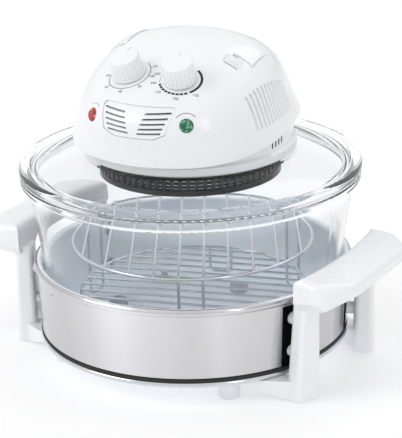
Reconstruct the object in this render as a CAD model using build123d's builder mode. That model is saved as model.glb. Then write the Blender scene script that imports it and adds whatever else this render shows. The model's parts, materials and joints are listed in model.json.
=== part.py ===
from build123d import *
import os
from math import asin, cos, degrees, pi, radians, sin, tan

os.makedirs("parts", exist_ok=True)

# Halogen oven: a glass bowl in a steel pan with two moulded handles, two wire racks, and a glass
# lid whose head holds the lamp, the fan, the timer and the thermostat.
# Millimetres, +Z up, front towards -Y, handles along X. The origin is on the ground, on the
# bowl's axis.

# ---------------------------------------------------------------- general clearances
body_gap = 0.4  # between pieces that lift off each other
seam_gap = 0.5  # between two covers in one housing
running_gap = 0.05  # shaft in a bore, on the radius
lid_turn = 4.0  # the loose lid sits this far round from the base, degrees

# ---------------------------------------------------------------- base
foot_radius = 10.0
foot_height = 14.0
foot_circle_radius = 127.0
foot_angle = 45.0
foot_recess_radius = 4.6
foot_recess_depth = 5.0
pad_thickness = 5.0  # end of the handle's arm, between foot and pan
pan_bottom = foot_height + pad_thickness
pan_sheet = 1.2
pan_foot_radius = 146.0  # the narrow foot of the pan, inside the trim ring
pan_foot_height = 8.0
band_bottom_radius = 147.0
band_top_radius = 150.0
band_top = 90.0
band_bottom = pan_bottom + pan_foot_height + 1.0
bead_radius = 3.8
bead_centre_radius = band_top_radius - pan_sheet - 0.9
bead_centre_z = band_top + 1.8
trim_height = 5.0
trim_depth = 2.4
band_gasket_depth = 1.5
rivet_radius = 1.6
rivet_height = 82.0
rivet_angles = (-120.0, 60.0)  # measured from +X, anticlockwise from above
bowl_pad_radius = 9.0
bowl_pad_circle_radius = 88.0
bowl_pad_gap = 0.3


def band_radius(z):
    """Outer radius of the tapered steel band at a height."""
    share = (z - band_bottom) / (band_top - band_bottom)
    return band_bottom_radius + share * (band_top_radius - band_bottom_radius)


# ---------------------------------------------------------------- handles
post_inner_radius = 153.5
post_outer_radius = 174.0
post_width = 27.0
post_angle = 22.5
post_bottom = 1.5
post_corner = 5.5
post_draft = 2.5  # the inner face leans out this much towards the top
post_lean = 7.0  # and the end face this much towards the middle
grip_inner_reach = 155.5  # at the middle of the grip
grip_corner_reach = 149.0  # at its two inner corners
grip_outer_reach = 199.5
grip_half_width = 77.0
grip_shoulder_half_width = 52.0
grip_top_inner = 120.5
grip_top_outer = 115.0
grip_edge_thickness = 11.0
grip_root_z = 91.0  # where the slanting underside meets the posts
arch_half_width = 44.0
arch_top = 102.0
arch_corner = 14.0
grip_edge_round = 7.5
grip_end_chamfer = (8.0, 15.0)  # under the two ends: inwards, upwards
arm_width = 17.0
boss_radius = 6.0
boss_heights = (42.0, 74.0)
handle_screw_radius = 2.0
screw_head_radius = 3.8
screw_head_height = 2.2
screw_seat_gap = 0.3  # the flat head bears on the tapered band at its edge
handle_screw_length = 14.0

# ---------------------------------------------------------------- glass bowl
bowl_wall = 4.2
bowl_floor_thickness = 5.0
bowl_bottom = 27.0
bowl_foot_radius = 133.0  # where the wall line meets the floor line
bowl_neck_radius = 153.0  # where the wall line meets the flange
bowl_neck_z = 171.0
bowl_flange_radius = 160.4
bowl_flange_low = 173.6
bowl_top = 180.0
bowl_corner = 17.0

# ---------------------------------------------------------------- racks
ring_wire = 1.6
bar_wire = 1.2
bar_rise = 1.0  # the bars lie a little into the ring, as welded
bar_overlap = 0.3
high_rack_radius = 114.0
high_rack_z = 111.0
high_rack_bars = 10
high_rack_pitch = 22.5
high_rack_turn = 30.0
low_rack_radius = 108.0
low_rack_z = 59.0
low_rack_bars = 13
low_rack_pitch = 16.0
low_rack_turn = -74.0
rack_leg_pitch = 22.0
rack_leg_wire = 1.4

# ---------------------------------------------------------------- lid glass, gasket and skirt
lid_rim_radius = 161.0
lid_rim_height = 10.0
lid_rim_inner = 151.0
lid_step = 2.2
lid_glass = 4.5
lid_seat_z = 201.5  # top of the flat seat round the centre hole
lid_seat_radius = 101.0
lid_hole_radius = 88.0
lid_lip_outer = 147.0
lid_lip_inner = 143.0
lid_lip_depth = 4.5
lid_bottom = bowl_top + body_gap
gasket_thickness = 1.5
gasket_inner = 89.5
gasket_outer = 98.0
skirt_radius = 84.7
skirt_wall = 1.6
skirt_bottom = 177.0
skirt_band = 5.5
skirt_slots = 70
skirt_slot_width = 4.4
clamp_radius = 91.0
clamp_thickness = 1.6
skirt_lip_inner = 78.0
skirt_lip_thickness = 1.0
lug_width = 12.0
guard_wire = 1.1
guard_rings = (18.0, 38.0, 58.0, 76.0)
guard_spokes = 8

# ---------------------------------------------------------------- head
collar_bottom = lid_seat_z + gasket_thickness
collar_flange_radius = 100.0
collar_flange_height = 8.5
collar_radius = 97.0
collar_wall = 2.5
collar_floor = 2.5
collar_opening = 72.0
seam_height = 227.0  # on the axis; the seam rises to the back
seam_slope = 0.129
shell_wall = 2.5
head_base = 205.0
side_slot_angle = 8.0  # of the group, forward from the side
side_slot_pitch = 3.0
side_slot_count = 4
side_slot_width = 2.0
side_slot_height = 8.0
side_slot_drop = 1.5

# One row for each height: z, half-width, front reach, back reach, roundness
head_sections = (
    (head_base, 102.0, 103.5, 105.0, 2.60),
    (222.0, 101.0, 108.0, 106.5, 2.40),
    (240.0, 97.5, 110.5, 105.0, 2.20),
    (254.0, 92.5, 109.5, 101.0, 2.15),
    (266.0, 88.5, 99.5, 94.0, 2.15),
    (277.0, 84.0, 81.0, 84.5, 2.15),
    (286.0, 78.0, 62.0, 73.5, 2.10),
    (294.0, 70.0, 45.5, 61.5, 2.10),
    (300.0, 59.5, 31.5, 51.0, 2.20),
    (304.5, 44.0, 17.0, 42.5, 2.30),
    (307.5, 22.0, 2.5, 33.0, 2.30),
)
section_points = 12

# Side grooves, one group each side
groove_count = 12
groove_pitch = 5.7
groove_first_y = -45.0
groove_width = 2.7
groove_depth = 1.5
groove_low = 238.5
groove_rise = 3.5  # the lower ends climb this much to the back
groove_high = 268.0
groove_crown = 5.0  # the upper ends rise this much towards the middle of the group

# Front vent panel
vent_outline = ((36.0, 266.0), (30.4, 244.4), (19.2, 239.6))  # right half, x and height
vent_corner = 3.5
vent_sink = 0.6
vent_gap = 0.4
vent_flange_margin = 2.5  # beyond the opening, behind the shell
vent_flange_thickness = 1.5
vent_slot_rows = 5
vent_slot_pitch = 4.2
vent_slot_height = 1.7
vent_slot_top = 261.2
vent_slot_inner_x = 9.6  # top row; each row below starts and ends nearer the middle
vent_slot_outer_x = 33.0
vent_slot_inner_step = 1.4
vent_slot_outer_step = 1.6
vent_slot_rise = 1.4  # each slot climbs this much outwards

# Signal lamps
lamp_x = 47.3
lamp_y = -97.5
lamp_z = 252.5
lamp_splay = 30.0  # turned out to its own side
lamp_lift = 22.0  # looking up
lens_radius = 6.2
lens_proud = 2.0
lens_length = 12.0
pilot_length = 14.0

# Knobs, timer and thermostat
dial_x = 25.7
dial_y = -64.5
dial_z = 283.3
dial_tilt = 24.5  # forward from upright
dial_splay = 9.0
knob_radius = 14.8
knob_body_radius = 14.2
knob_height = 20.0
knob_gap = 1.0
knob_flutes = 22
knob_flute_radius = 1.2
knob_skirt_height = 2.0
knob_recess_radius = 9.5
knob_recess_depth = 4.5
knob_mark_width = 1.4
knob_mark_depth = 0.6
knob_top_round = 1.5
spindle_radius = 3.0
spindle_length = 30.0
bushing_radius = 5.0
nut_radius = 8.0
nut_height = 3.0
bushing_top = 4.5  # above the panel
shoulder_radius = 9.0
seat_gap = 0.06  # between a flat seat and what bears on it
control_depth = 8.0  # from the panel to the control's body
timer_size = (36.0, 40.0, 24.0)
thermostat_size = (34.0, 28.0, 16.0)

# Carry handle
strap_inner_x = 55.0
strap_outer_x = 73.0
strap_back_y = 64.0
strap_inner_back_y = 48.0
strap_outer_corner = 38.0
strap_inner_corner = 21.0
strap_proud = 1.0
strap_thickness = 7.0
strap_front_y = -15.5
pivot_y = -11.0
pivot_z = 294.5
pivot_sweep = 5.5  # the arm's rounded front top corner
pivot_undercut = 7.5  # room for the arm's thick inner edge
pivot_undercut_width = 5.0
pivot_relief = 18.3  # room for the arm's low front corner
hub_radius = 4.2
pivot_pin_radius = 2.5
pivot_pin_inner_x = 49.0
pivot_pin_outer_x = 59.0
recess_gap = 0.5
recess_wall = 2.2

# Lock button ahead of the right arm
button_x = 58.0
button_y = -24.0
button_width = 15.0
button_length = 9.0
button_floor_z = 282.0
button_sink = 0.3
button_gap = 0.4
button_front_gap = 1.7  # a finger slot at the front edge
button_travel = 2.0
button_ribs = 3
button_rib_pitch = 2.4
button_rib_width = 0.9
button_rib_depth = 1.0
switch_size = (14.0, 7.0, 10.0)
switch_top = button_floor_z - button_travel - 0.5
shelf_inner_x = 48.0

# ---------------------------------------------------------------- inside the head
post_pitch_angle = 45.0  # of the four screw posts
post_circle_radius = 79.0
screw_post_radius = 5.0
head_screw_radius = 1.9
head_screw_grip = 16.0
reflector_thickness = 1.2
reflector_radius = skirt_radius - skirt_wall - 0.6
lug_thickness = 1.6
board_thickness = 3.0
board_radius = 71.0
shaft_radius = 3.0
shaft_low = 181.0
shaft_high = 266.0
lamp_ring_radius = 64.0
lamp_tube_radius = 4.5
lamp_tube_wall = 1.0
lamp_ring_z = 188.0
lamp_gap_angle = 26.0
filament_radius = 0.8
lamp_cap_radius = 5.6
lamp_cap_length = 12.0
lamp_clip_width = 6.0
lamp_clip_gap = 0.2
fan_low = 184.5
fan_high = 196.0
fan_radius = 50.0
fan_plate = 1.2
fan_blades = 8
fan_blade_thickness = 1.0
fan_hub_radius = 8.0
nut_across_radius = 5.0
shaft_nut_height = 3.0
cooling_low = 212.0
cooling_high = 221.0
cooling_radius = 42.0
cooling_blades = 7
motor_radius = 29.0
motor_low = 230.0
motor_high = 262.0
motor_neck_radius = 8.0
bracket_half_span = 74.0
bracket_foot = 15.0
bracket_width = 30.0
bracket_sheet = 1.6
gland_radius = 7.0
gland_bore = 3.6
gland_z = 225.0
gland_length = 16.0
gland_flange_radius = 9.5
gland_flange = 2.0
terminal_size = (26.0, 12.0, 12.0)
terminal_y = 79.0
fuse_y = -60.0
fuse_radius = 2.5
fuse_length = 12.0


def seam_z(y):
    """Height of the seam between collar and shell."""
    return seam_height + seam_slope * y


def signed_power(value, power):
    return abs(value) ** power * (1 if value >= 0 else -1)


def head_form(inset):
    """The head's closed outer form, drawn in by an inset."""
    scale = 1 - inset / 100.0
    with BuildPart() as form:
        for z, half_width, front, back, roundness in head_sections:
            middle = (back - front) / 2
            half_length = (back + front) / 2
            outline = []
            for step in range(section_points):
                turn = 2 * pi * (step + 0.5) / section_points
                x = half_width * signed_power(cos(turn), 2 / roundness)
                y = middle + half_length * signed_power(sin(turn), 2 / roundness)
                outline.append((scale * x, scale * y))
            with BuildSketch(Plane.XY.offset(head_base + scale * (z - head_base))):
                with BuildLine():
                    Spline(*outline, periodic=True)
                make_face()
        loft()
    return form.part


def facing(angle, z=0.0):
    """Plane on the axis at a height, whose normal points out at an angle from +X."""
    turn = radians(angle)
    return Plane(origin=(0, 0, z), x_dir=(-sin(turn), cos(turn), 0), z_dir=(cos(turn), sin(turn), 0))


# ================================================================ base
post_angles = (post_angle, -post_angle)
both_sides = (0.0, 180.0)
foot_turns = [radians(foot_angle + 90 * n) for n in range(4)]
foot_places = [(foot_circle_radius * cos(turn), foot_circle_radius * sin(turn)) for turn in foot_turns]

with BuildPart() as steel_pan:
    with BuildSketch(Plane.XZ):
        with BuildLine():
            Polyline(
                (0, pan_bottom),
                (pan_foot_radius, pan_bottom),
                (pan_foot_radius, pan_bottom + pan_foot_height),
                (band_bottom_radius, band_bottom),
                (band_top_radius, band_top),
                (band_top_radius - pan_sheet, band_top),
                (band_bottom_radius - pan_sheet, band_bottom),
                (pan_foot_radius - pan_sheet, pan_bottom + pan_foot_height),
                (pan_foot_radius - pan_sheet, pan_bottom + pan_sheet),
                (0, pan_bottom + pan_sheet),
                close=True,
            )
        make_face()
        with Locations((bead_centre_radius, bead_centre_z)):
            Circle(bead_radius)
    revolve(axis=Axis.Z)
    for side in both_sides:
        for angle in post_angles:
            for height in boss_heights:
                with BuildSketch(facing(side + angle, height).offset(pan_foot_radius - 8)):
                    Circle(handle_screw_radius + running_gap)
                extrude(amount=20, mode=Mode.SUBTRACT)
    with BuildSketch(Plane.XY):
        with Locations(*foot_places):
            Circle(handle_screw_radius + running_gap)
    extrude(amount=pan_bottom + 10, mode=Mode.SUBTRACT)

with BuildPart() as bottom_trim_ring:
    with BuildSketch(Plane.XZ):
        with BuildLine():
            rim = ThreePointArc(
                (pan_foot_radius, pan_bottom),
                (pan_foot_radius + trim_depth, pan_bottom + trim_height / 2),
                (pan_foot_radius, pan_bottom + trim_height),
            )
            Line(rim @ 1, rim @ 0)
        make_face()
    revolve(axis=Axis.Z)

with BuildPart() as band_gasket:
    with BuildSketch(Plane.XZ):
        with BuildLine():
            Polyline(
                (pan_foot_radius, pan_bottom + trim_height),
                (pan_foot_radius + band_gasket_depth, pan_bottom + trim_height),
                (pan_foot_radius + band_gasket_depth, pan_bottom + pan_foot_height),
                (pan_foot_radius, pan_bottom + pan_foot_height),
                close=True,
            )
        make_face()
    revolve(axis=Axis.Z)

with BuildPart() as band_rivets:
    for angle in rivet_angles:
        with Locations(facing(angle, rivet_height).offset(band_radius(rivet_height) - 0.4).location):
            Sphere(rivet_radius)
    with BuildSketch(Plane.XZ):
        with BuildLine():
            Polyline(
                (0, band_bottom),
                (band_bottom_radius, band_bottom),
                (band_top_radius, band_top),
                (0, band_top),
                close=True,
            )
        make_face()
    revolve(axis=Axis.Z, mode=Mode.SUBTRACT)

with BuildPart() as bowl_pads:
    with BuildSketch(Plane.XY.offset(pan_bottom + pan_sheet)):
        with PolarLocations(bowl_pad_circle_radius, 4):
            Circle(bowl_pad_radius)
    extrude(amount=bowl_bottom - bowl_pad_gap - pan_bottom - pan_sheet)

# ---------------------------------------------------------------- feet and their screws
foot_screw_top = pan_bottom + pan_sheet + 2.6
feet = {}
for corner, (x, y) in zip(("back_right", "back_left", "front_left", "front_right"), foot_places):
    with BuildPart() as foot:
        with Locations((x, y, 0)):
            Cylinder(foot_radius, foot_height, align=(Align.CENTER, Align.CENTER, Align.MIN))
        fillet(foot.edges().group_by(Axis.Z)[0], 1.5)
        with Locations((x, y, 0)):
            Cylinder(
                foot_recess_radius,
                foot_recess_depth,
                align=(Align.CENTER, Align.CENTER, Align.MIN),
                mode=Mode.SUBTRACT,
            )
            Cylinder(
                handle_screw_radius + running_gap,
                foot_height,
                align=(Align.CENTER, Align.CENTER, Align.MIN),
                mode=Mode.SUBTRACT,
            )
    feet["foot_" + corner] = foot

with BuildPart() as foot_screws:
    with BuildSketch(Plane.XY.offset(foot_recess_depth)):
        with Locations(*foot_places):
            Circle(handle_screw_radius)
    extrude(amount=foot_screw_top - foot_recess_depth)
    with BuildSketch(Plane.XY.offset(foot_recess_depth)):
        with Locations(*foot_places):
            Circle(screw_head_radius)
    extrude(amount=-screw_head_height)

with BuildPart() as foot_nuts:
    with BuildSketch(Plane.XY.offset(pan_bottom + pan_sheet)):
        with Locations(*foot_places):
            RegularPolygon(nut_across_radius - 1.2, 6)
            Circle(handle_screw_radius + running_gap, mode=Mode.SUBTRACT)
    extrude(amount=foot_screw_top - pan_bottom - pan_sheet)

# ---------------------------------------------------------------- handles
post_middle = (post_inner_radius + post_outer_radius) / 2
post_depth = post_outer_radius - post_inner_radius
slope_per_mm = (grip_top_inner - grip_top_outer) / (grip_outer_reach - grip_corner_reach)

with BuildPart() as right_handle:
    with BuildSketch(Plane.XY.offset(grip_root_z)):
        with BuildLine():
            outer_edge = FilletPolyline(
                (grip_corner_reach, -grip_half_width),
                (post_outer_radius + 2, -grip_half_width - 3),
                (grip_outer_reach, -grip_shoulder_half_width - 4),
                (grip_outer_reach, grip_shoulder_half_width + 4),
                (post_outer_radius + 2, grip_half_width + 3),
                (grip_corner_reach, grip_half_width),
                radius=(16, 24, 24, 16),
            )
            ThreePointArc(outer_edge @ 1, (grip_inner_reach, 0), outer_edge @ 0)
        make_face()
    extrude(amount=grip_top_inner + 4 - grip_root_z)
    with BuildSketch(Plane.XZ):
        with BuildLine():
            Polyline(
                (grip_corner_reach - 10, grip_top_inner + 10 * slope_per_mm),
                (grip_outer_reach + 10, grip_top_outer - 10 * slope_per_mm),
                (grip_outer_reach + 10, grip_top_inner + 20),
                (grip_corner_reach - 10, grip_top_inner + 20),
                close=True,
            )
        make_face()
    extrude(amount=grip_half_width + 10, both=True, mode=Mode.SUBTRACT)
    fillet(right_handle.faces().sort_by(Axis.Z)[-1].edges(), grip_edge_round)
    with BuildSketch(Plane.XZ):
        with BuildLine():
            Polyline(
                (post_outer_radius, grip_root_z - 5),
                (post_outer_radius, grip_root_z),
                (grip_outer_reach, grip_top_outer - grip_edge_thickness),
                (grip_outer_reach + 10, grip_top_outer - grip_edge_thickness + 4),
                (grip_outer_reach + 10, grip_root_z - 5),
                close=True,
            )
        make_face()
    extrude(amount=grip_half_width + 10, both=True, mode=Mode.SUBTRACT)
    with BuildSketch(Plane.YZ.offset(grip_corner_reach - 10)):
        with BuildLine():
            FilletPolyline(
                (-arch_half_width, grip_root_z - 10),
                (-arch_half_width, arch_top),
                (arch_half_width, arch_top),
                (arch_half_width, grip_root_z - 10),
                radius=(arch_corner, arch_corner),
            )
            Line((arch_half_width, grip_root_z - 10), (-arch_half_width, grip_root_z - 10))
        make_face()
    extrude(amount=grip_outer_reach, mode=Mode.SUBTRACT)
    # the underside of each end slopes in to its post
    end_in, end_up = grip_end_chamfer
    end_y = grip_half_width + 4
    for side in (-1, 1):
        with BuildSketch(Plane.YZ.offset(grip_corner_reach - 10)):
            with BuildLine():
                Polyline(
                    (side * (end_y - end_in), grip_root_z - 1),
                    (side * (end_y + 2), grip_root_z + end_up),
                    (side * (end_y + 10), grip_root_z + end_up),
                    (side * (end_y + 10), grip_root_z - 1),
                    close=True,
                )
            make_face()
        extrude(amount=grip_outer_reach, mode=Mode.SUBTRACT)
    # the posts lean in towards the grip
    for angle in post_angles:
        inward = 1 if angle < 0 else -1
        upright = Location((0, 0, 0), (0, 0, angle))
        with BuildPart(mode=Mode.PRIVATE) as post:
            with BuildSketch(Plane.XY.offset(post_bottom)):
                with Locations((post_middle, 0)):
                    RectangleRounded(post_depth, post_width, post_corner)
            with BuildSketch(Plane.XY.offset(grip_root_z + 6)):
                with Locations((post_middle + post_draft / 2, inward * post_lean / 2)):
                    RectangleRounded(post_depth - post_draft, post_width - post_lean, post_corner)
            loft()
        add(upright * post.part)
    # the arms to the feet, their undersides sloping up from the posts
    for angle, (foot_x, foot_y) in zip(post_angles, (foot_places[0], foot_places[3])):
        reach_x = post_middle * cos(radians(angle)) - foot_x
        reach_y = post_middle * sin(radians(angle)) - foot_y
        reach = (reach_x**2 + reach_y**2) ** 0.5
        along = Vector(reach_x / reach, reach_y / reach, 0)
        with BuildSketch(Plane.XY.offset(post_bottom)):
            middle = (foot_x + reach_x / 2, foot_y + reach_y / 2, 0)
            with Locations(Location(middle, (0, 0, degrees(asin(reach_y / reach))))):
                SlotCenterToCenter(reach, arm_width)
        extrude(amount=pan_bottom - post_bottom)
        with BuildSketch(Plane(origin=(foot_x, foot_y, 0), x_dir=along, z_dir=along.cross(Vector(0, 0, 1)))):
            with BuildLine():
                Polyline(
                    (-arm_width, 0),
                    (reach - post_width / 2 - 1, 0),
                    (reach - post_width / 2 - 1, post_bottom),
                    (foot_radius + 2, foot_height),
                    (-arm_width, foot_height),
                    close=True,
                )
            make_face()
        extrude(amount=arm_width, both=True, mode=Mode.SUBTRACT)
        with Locations((foot_x, foot_y, 0)):
            Cylinder(
                handle_screw_radius + running_gap,
                pan_bottom,
                align=(Align.CENTER, Align.CENTER, Align.MIN),
                mode=Mode.SUBTRACT,
            )
    # the bosses that stand off the band
    for angle in post_angles:
        for height in boss_heights:
            with BuildSketch(facing(angle, height).offset(band_radius(height) - 2)):
                Circle(boss_radius)
            extrude(amount=post_inner_radius + post_draft + 4 - band_radius(height))
    with BuildSketch(Plane.XZ):
        with BuildLine():
            Polyline(
                (0, band_bottom),
                (band_bottom_radius, band_bottom),
                (band_top_radius, band_top),
                (0, band_top),
                close=True,
            )
        make_face()
    revolve(axis=Axis.Z, mode=Mode.SUBTRACT)
    for angle in post_angles:
        for height in boss_heights:
            with BuildSketch(facing(angle, height).offset(band_radius(height) - 3)):
                Circle(handle_screw_radius + running_gap)
            extrude(amount=handle_screw_length + 3, mode=Mode.SUBTRACT)

with BuildPart() as left_handle:
    mirror(right_handle.part, about=Plane.YZ)

with BuildPart() as handle_screws:
    for side in both_sides:
        for angle in post_angles:
            for height in boss_heights:
                seat = facing(side + angle, height).offset(band_radius(height) - pan_sheet - screw_seat_gap)
                with BuildSketch(seat):
                    Circle(handle_screw_radius)
                extrude(amount=handle_screw_length)
                with BuildSketch(seat):
                    Circle(screw_head_radius)
                extrude(amount=-screw_head_height)

# ================================================================ bowl
bowl_slope = (bowl_neck_radius - bowl_foot_radius) / (bowl_neck_z - bowl_bottom)
bowl_inner_floor = bowl_bottom + bowl_floor_thickness
bowl_inner_foot = bowl_foot_radius + bowl_slope * bowl_floor_thickness - bowl_wall
bowl_mouth_radius = bowl_foot_radius + bowl_slope * (bowl_top - bowl_bottom) - bowl_wall

with BuildPart() as glass_bowl:
    with BuildSketch(Plane.XZ):
        with BuildLine():
            wall = FilletPolyline(
                (0, bowl_bottom),
                (bowl_foot_radius, bowl_bottom),
                (bowl_neck_radius, bowl_neck_z),
                (bowl_flange_radius, bowl_flange_low),
                (bowl_flange_radius, bowl_top),
                (bowl_mouth_radius, bowl_top),
                (bowl_inner_foot, bowl_inner_floor),
                (0, bowl_inner_floor),
                radius=(bowl_corner, 4, 2, 1.6, 1.6, bowl_corner - bowl_wall),
            )
            Line(wall @ 1, wall @ 0)
        make_face()
    revolve(axis=Axis.Z)


# ================================================================ racks
def rack(radius, height, bars, pitch, turn, leg_angles):
    """A welded wire rack: a ring, straight bars on it and three bent legs."""
    floor = bowl_inner_floor + body_gap + rack_leg_wire
    with BuildPart() as frame:
        with Locations((0, 0, height)):
            Torus(radius, ring_wire)
        for n in range(bars):
            offset = (n - (bars - 1) / 2) * pitch
            half_length = (radius**2 - offset**2) ** 0.5 + bar_overlap
            middle = Vector(offset, 0, height + bar_rise).rotate(Axis.Z, turn)
            with BuildSketch(Plane(origin=middle, z_dir=Vector(0, 1, 0).rotate(Axis.Z, turn))):
                Circle(bar_wire)
            extrude(amount=half_length, both=True)
        for leg in leg_angles:
            with BuildLine(facing(leg).offset(radius - ring_wire / 2)) as bend:
                FilletPolyline(
                    (-rack_leg_pitch / 2, height + bar_overlap),
                    (-rack_leg_pitch / 2, floor),
                    (rack_leg_pitch / 2, floor),
                    (rack_leg_pitch / 2, height + bar_overlap),
                    radius=5,
                )
            with BuildSketch(Plane(origin=bend.line @ 0, z_dir=bend.line % 0)):
                Circle(rack_leg_wire)
            sweep()
    return frame


high_rack = rack(
    high_rack_radius, high_rack_z, high_rack_bars, high_rack_pitch, high_rack_turn,
    (high_rack_turn - 90, high_rack_turn + 30, high_rack_turn + 150),
)
low_rack = rack(
    low_rack_radius, low_rack_z, low_rack_bars, low_rack_pitch, low_rack_turn,
    (low_rack_turn - 60, low_rack_turn + 60, low_rack_turn + 180),
)

# ================================================================ lid
with BuildPart() as glass_lid:
    with BuildSketch(Plane.XZ):
        with BuildLine():
            dome_edge_z = lid_bottom + lid_rim_height - lid_step
            dome_half = (lid_rim_inner + lid_seat_radius) / 2
            dome_half_z = dome_edge_z + 0.62 * (lid_seat_z - dome_edge_z)
            rim = FilletPolyline(
                (lid_lip_inner, dome_edge_z - lid_glass + 1),
                (lid_lip_inner, lid_bottom - lid_lip_depth),
                (lid_lip_outer, lid_bottom - lid_lip_depth),
                (lid_lip_outer, lid_bottom),
                (lid_rim_radius, lid_bottom),
                (lid_rim_radius, lid_bottom + lid_rim_height),
                (lid_rim_inner, lid_bottom + lid_rim_height),
                (lid_rim_inner - 1.5, dome_edge_z),
                radius=(1.4, 1.4, 1.2, 2.5, 4.5, 1.2),
            )
            dome = ThreePointArc(rim @ 1, (dome_half, dome_half_z), (lid_seat_radius, lid_seat_z))
            seat = Polyline(
                dome @ 1,
                (lid_hole_radius, lid_seat_z),
                (lid_hole_radius, lid_seat_z - lid_glass),
                (lid_seat_radius, lid_seat_z - lid_glass),
            )
            ThreePointArc(seat @ 1, (dome_half - 1, dome_half_z - lid_glass), rim @ 0)
        make_face()
    revolve(axis=Axis.Z)

with BuildPart() as lid_gasket:
    with BuildSketch(Plane.XY.offset(lid_seat_z)):
        Circle(gasket_outer)
        Circle(gasket_inner, mode=Mode.SUBTRACT)
    extrude(amount=gasket_thickness)

screw_places = [
    (post_circle_radius * cos(radians(post_pitch_angle + 90 * n)),
     post_circle_radius * sin(radians(post_pitch_angle + 90 * n)))
    for n in range(4)
]
reflector_low = collar_bottom - reflector_thickness
slot_top = lid_seat_z - lid_glass - clamp_thickness - body_gap - 0.5

with BuildPart() as fan_skirt:
    with BuildSketch(Plane.XZ):
        with BuildLine():
            Polyline(
                (skirt_lip_inner, skirt_bottom),
                (skirt_radius, skirt_bottom),
                (skirt_radius, lid_seat_z - lid_glass - body_gap - clamp_thickness),
                (clamp_radius, lid_seat_z - lid_glass - body_gap - clamp_thickness),
                (clamp_radius, lid_seat_z - lid_glass - body_gap),
                (skirt_radius, lid_seat_z - lid_glass - body_gap),
                (skirt_radius, collar_bottom),
                (skirt_radius - skirt_wall, collar_bottom),
                (skirt_radius - skirt_wall, skirt_bottom + skirt_lip_thickness),
                (skirt_lip_inner, skirt_bottom + skirt_lip_thickness),
                close=True,
            )
        make_face()
    revolve(axis=Axis.Z)
    # lugs that the screws pull up against the reflector
    with BuildSketch(Plane.XY.offset(reflector_low)):
        for n in range(4):
            with Locations(Location((0, 0, 0), (0, 0, post_pitch_angle + 90 * n))):
                with Locations((post_circle_radius, 0)):
                    Rectangle(2 * (skirt_radius - skirt_wall / 2 - post_circle_radius), lug_width)
        with Locations(*screw_places):
            Circle(head_screw_radius + running_gap, mode=Mode.SUBTRACT)
    extrude(amount=-lug_thickness)
    for n in range(skirt_slots):
        with BuildSketch(facing(360 / skirt_slots * n, 0).offset(skirt_radius - skirt_wall - 1)):
            with Locations((0, (skirt_bottom + skirt_band + slot_top) / 2)):
                Rectangle(skirt_slot_width, slot_top - skirt_bottom - skirt_band)
    extrude(amount=skirt_wall + 2, mode=Mode.SUBTRACT)

with BuildPart() as heater_guard:
    guard_z = skirt_bottom + skirt_lip_thickness + guard_wire
    with BuildSketch(Plane.XZ):
        with Locations(*[(radius, guard_z) for radius in guard_rings]):
            Circle(guard_wire)
    revolve(axis=Axis.Z)
    for n in range(guard_spokes):
        with BuildSketch(facing(360 / guard_spokes * (n + 0.5), guard_z).offset(guard_rings[0])):
            Circle(guard_wire)
        extrude(amount=skirt_radius - skirt_wall - 0.2 - guard_rings[0])

with BuildPart() as reflector_plate:
    with BuildSketch(Plane.XY.offset(reflector_low)):
        Circle(reflector_radius)
        with Locations(*screw_places):
            Circle(head_screw_radius + running_gap, mode=Mode.SUBTRACT)
        Circle(shaft_radius + 1.5, mode=Mode.SUBTRACT)
    extrude(amount=reflector_thickness)

with BuildPart() as insulation_board:
    with BuildSketch(Plane.XY.offset(collar_bottom)):
        Circle(board_radius)
        Circle(shaft_radius + 1.5, mode=Mode.SUBTRACT)
    extrude(amount=board_thickness)

# ---------------------------------------------------------------- halogen lamp
lamp_start = 270 + lamp_gap_angle / 2
lamp_sweep = 360 - lamp_gap_angle


def lamp_arc(start, sweep_angle, outer, inner=0.0):
    """Part of a ring about the axis at the lamp's height."""
    with BuildPart() as arc:
        with BuildLine() as path:
            CenterArc((0, 0, lamp_ring_z), lamp_ring_radius, start, sweep_angle)
        with BuildSketch(Plane(origin=path.line @ 0, z_dir=path.line % 0)):
            Circle(outer)
            if inner:
                Circle(inner, mode=Mode.SUBTRACT)
        sweep()
    return arc


cap_sweep = degrees(lamp_cap_length / lamp_ring_radius)
halogen_lamp = lamp_arc(lamp_start, lamp_sweep, lamp_tube_radius, lamp_tube_radius - lamp_tube_wall)
lamp_filament = lamp_arc(lamp_start, lamp_sweep, filament_radius)

with BuildPart() as lamp_holders:
    for start in (lamp_start - cap_sweep / 3, lamp_start + lamp_sweep - 2 * cap_sweep / 3):
        with BuildLine() as path:
            CenterArc((0, 0, lamp_ring_z), lamp_ring_radius, start, cap_sweep)
        with BuildSketch(Plane(origin=path.line @ 0, z_dir=path.line % 0)):
            Circle(lamp_cap_radius)
        sweep()
        middle = radians(start + cap_sweep / 2)
        with BuildSketch(Plane.XY.offset(lamp_ring_z)):
            with Locations((lamp_ring_radius * cos(middle), lamp_ring_radius * sin(middle))):
                Circle(lamp_cap_radius - 1)
        extrude(amount=reflector_low - lamp_ring_z)
    with BuildLine() as path:
        CenterArc((0, 0, lamp_ring_z), lamp_ring_radius, lamp_start, 180)
    with BuildSketch(Plane(origin=path.line @ 0, z_dir=path.line % 0)):
        Circle(lamp_tube_radius)
    sweep(mode=Mode.SUBTRACT)
    with BuildLine() as path:
        CenterArc((0, 0, lamp_ring_z), lamp_ring_radius, lamp_start + lamp_sweep - 180, 180)
    with BuildSketch(Plane(origin=path.line @ 0, z_dir=path.line % 0)):
        Circle(lamp_tube_radius)
    sweep(mode=Mode.SUBTRACT)

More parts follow.
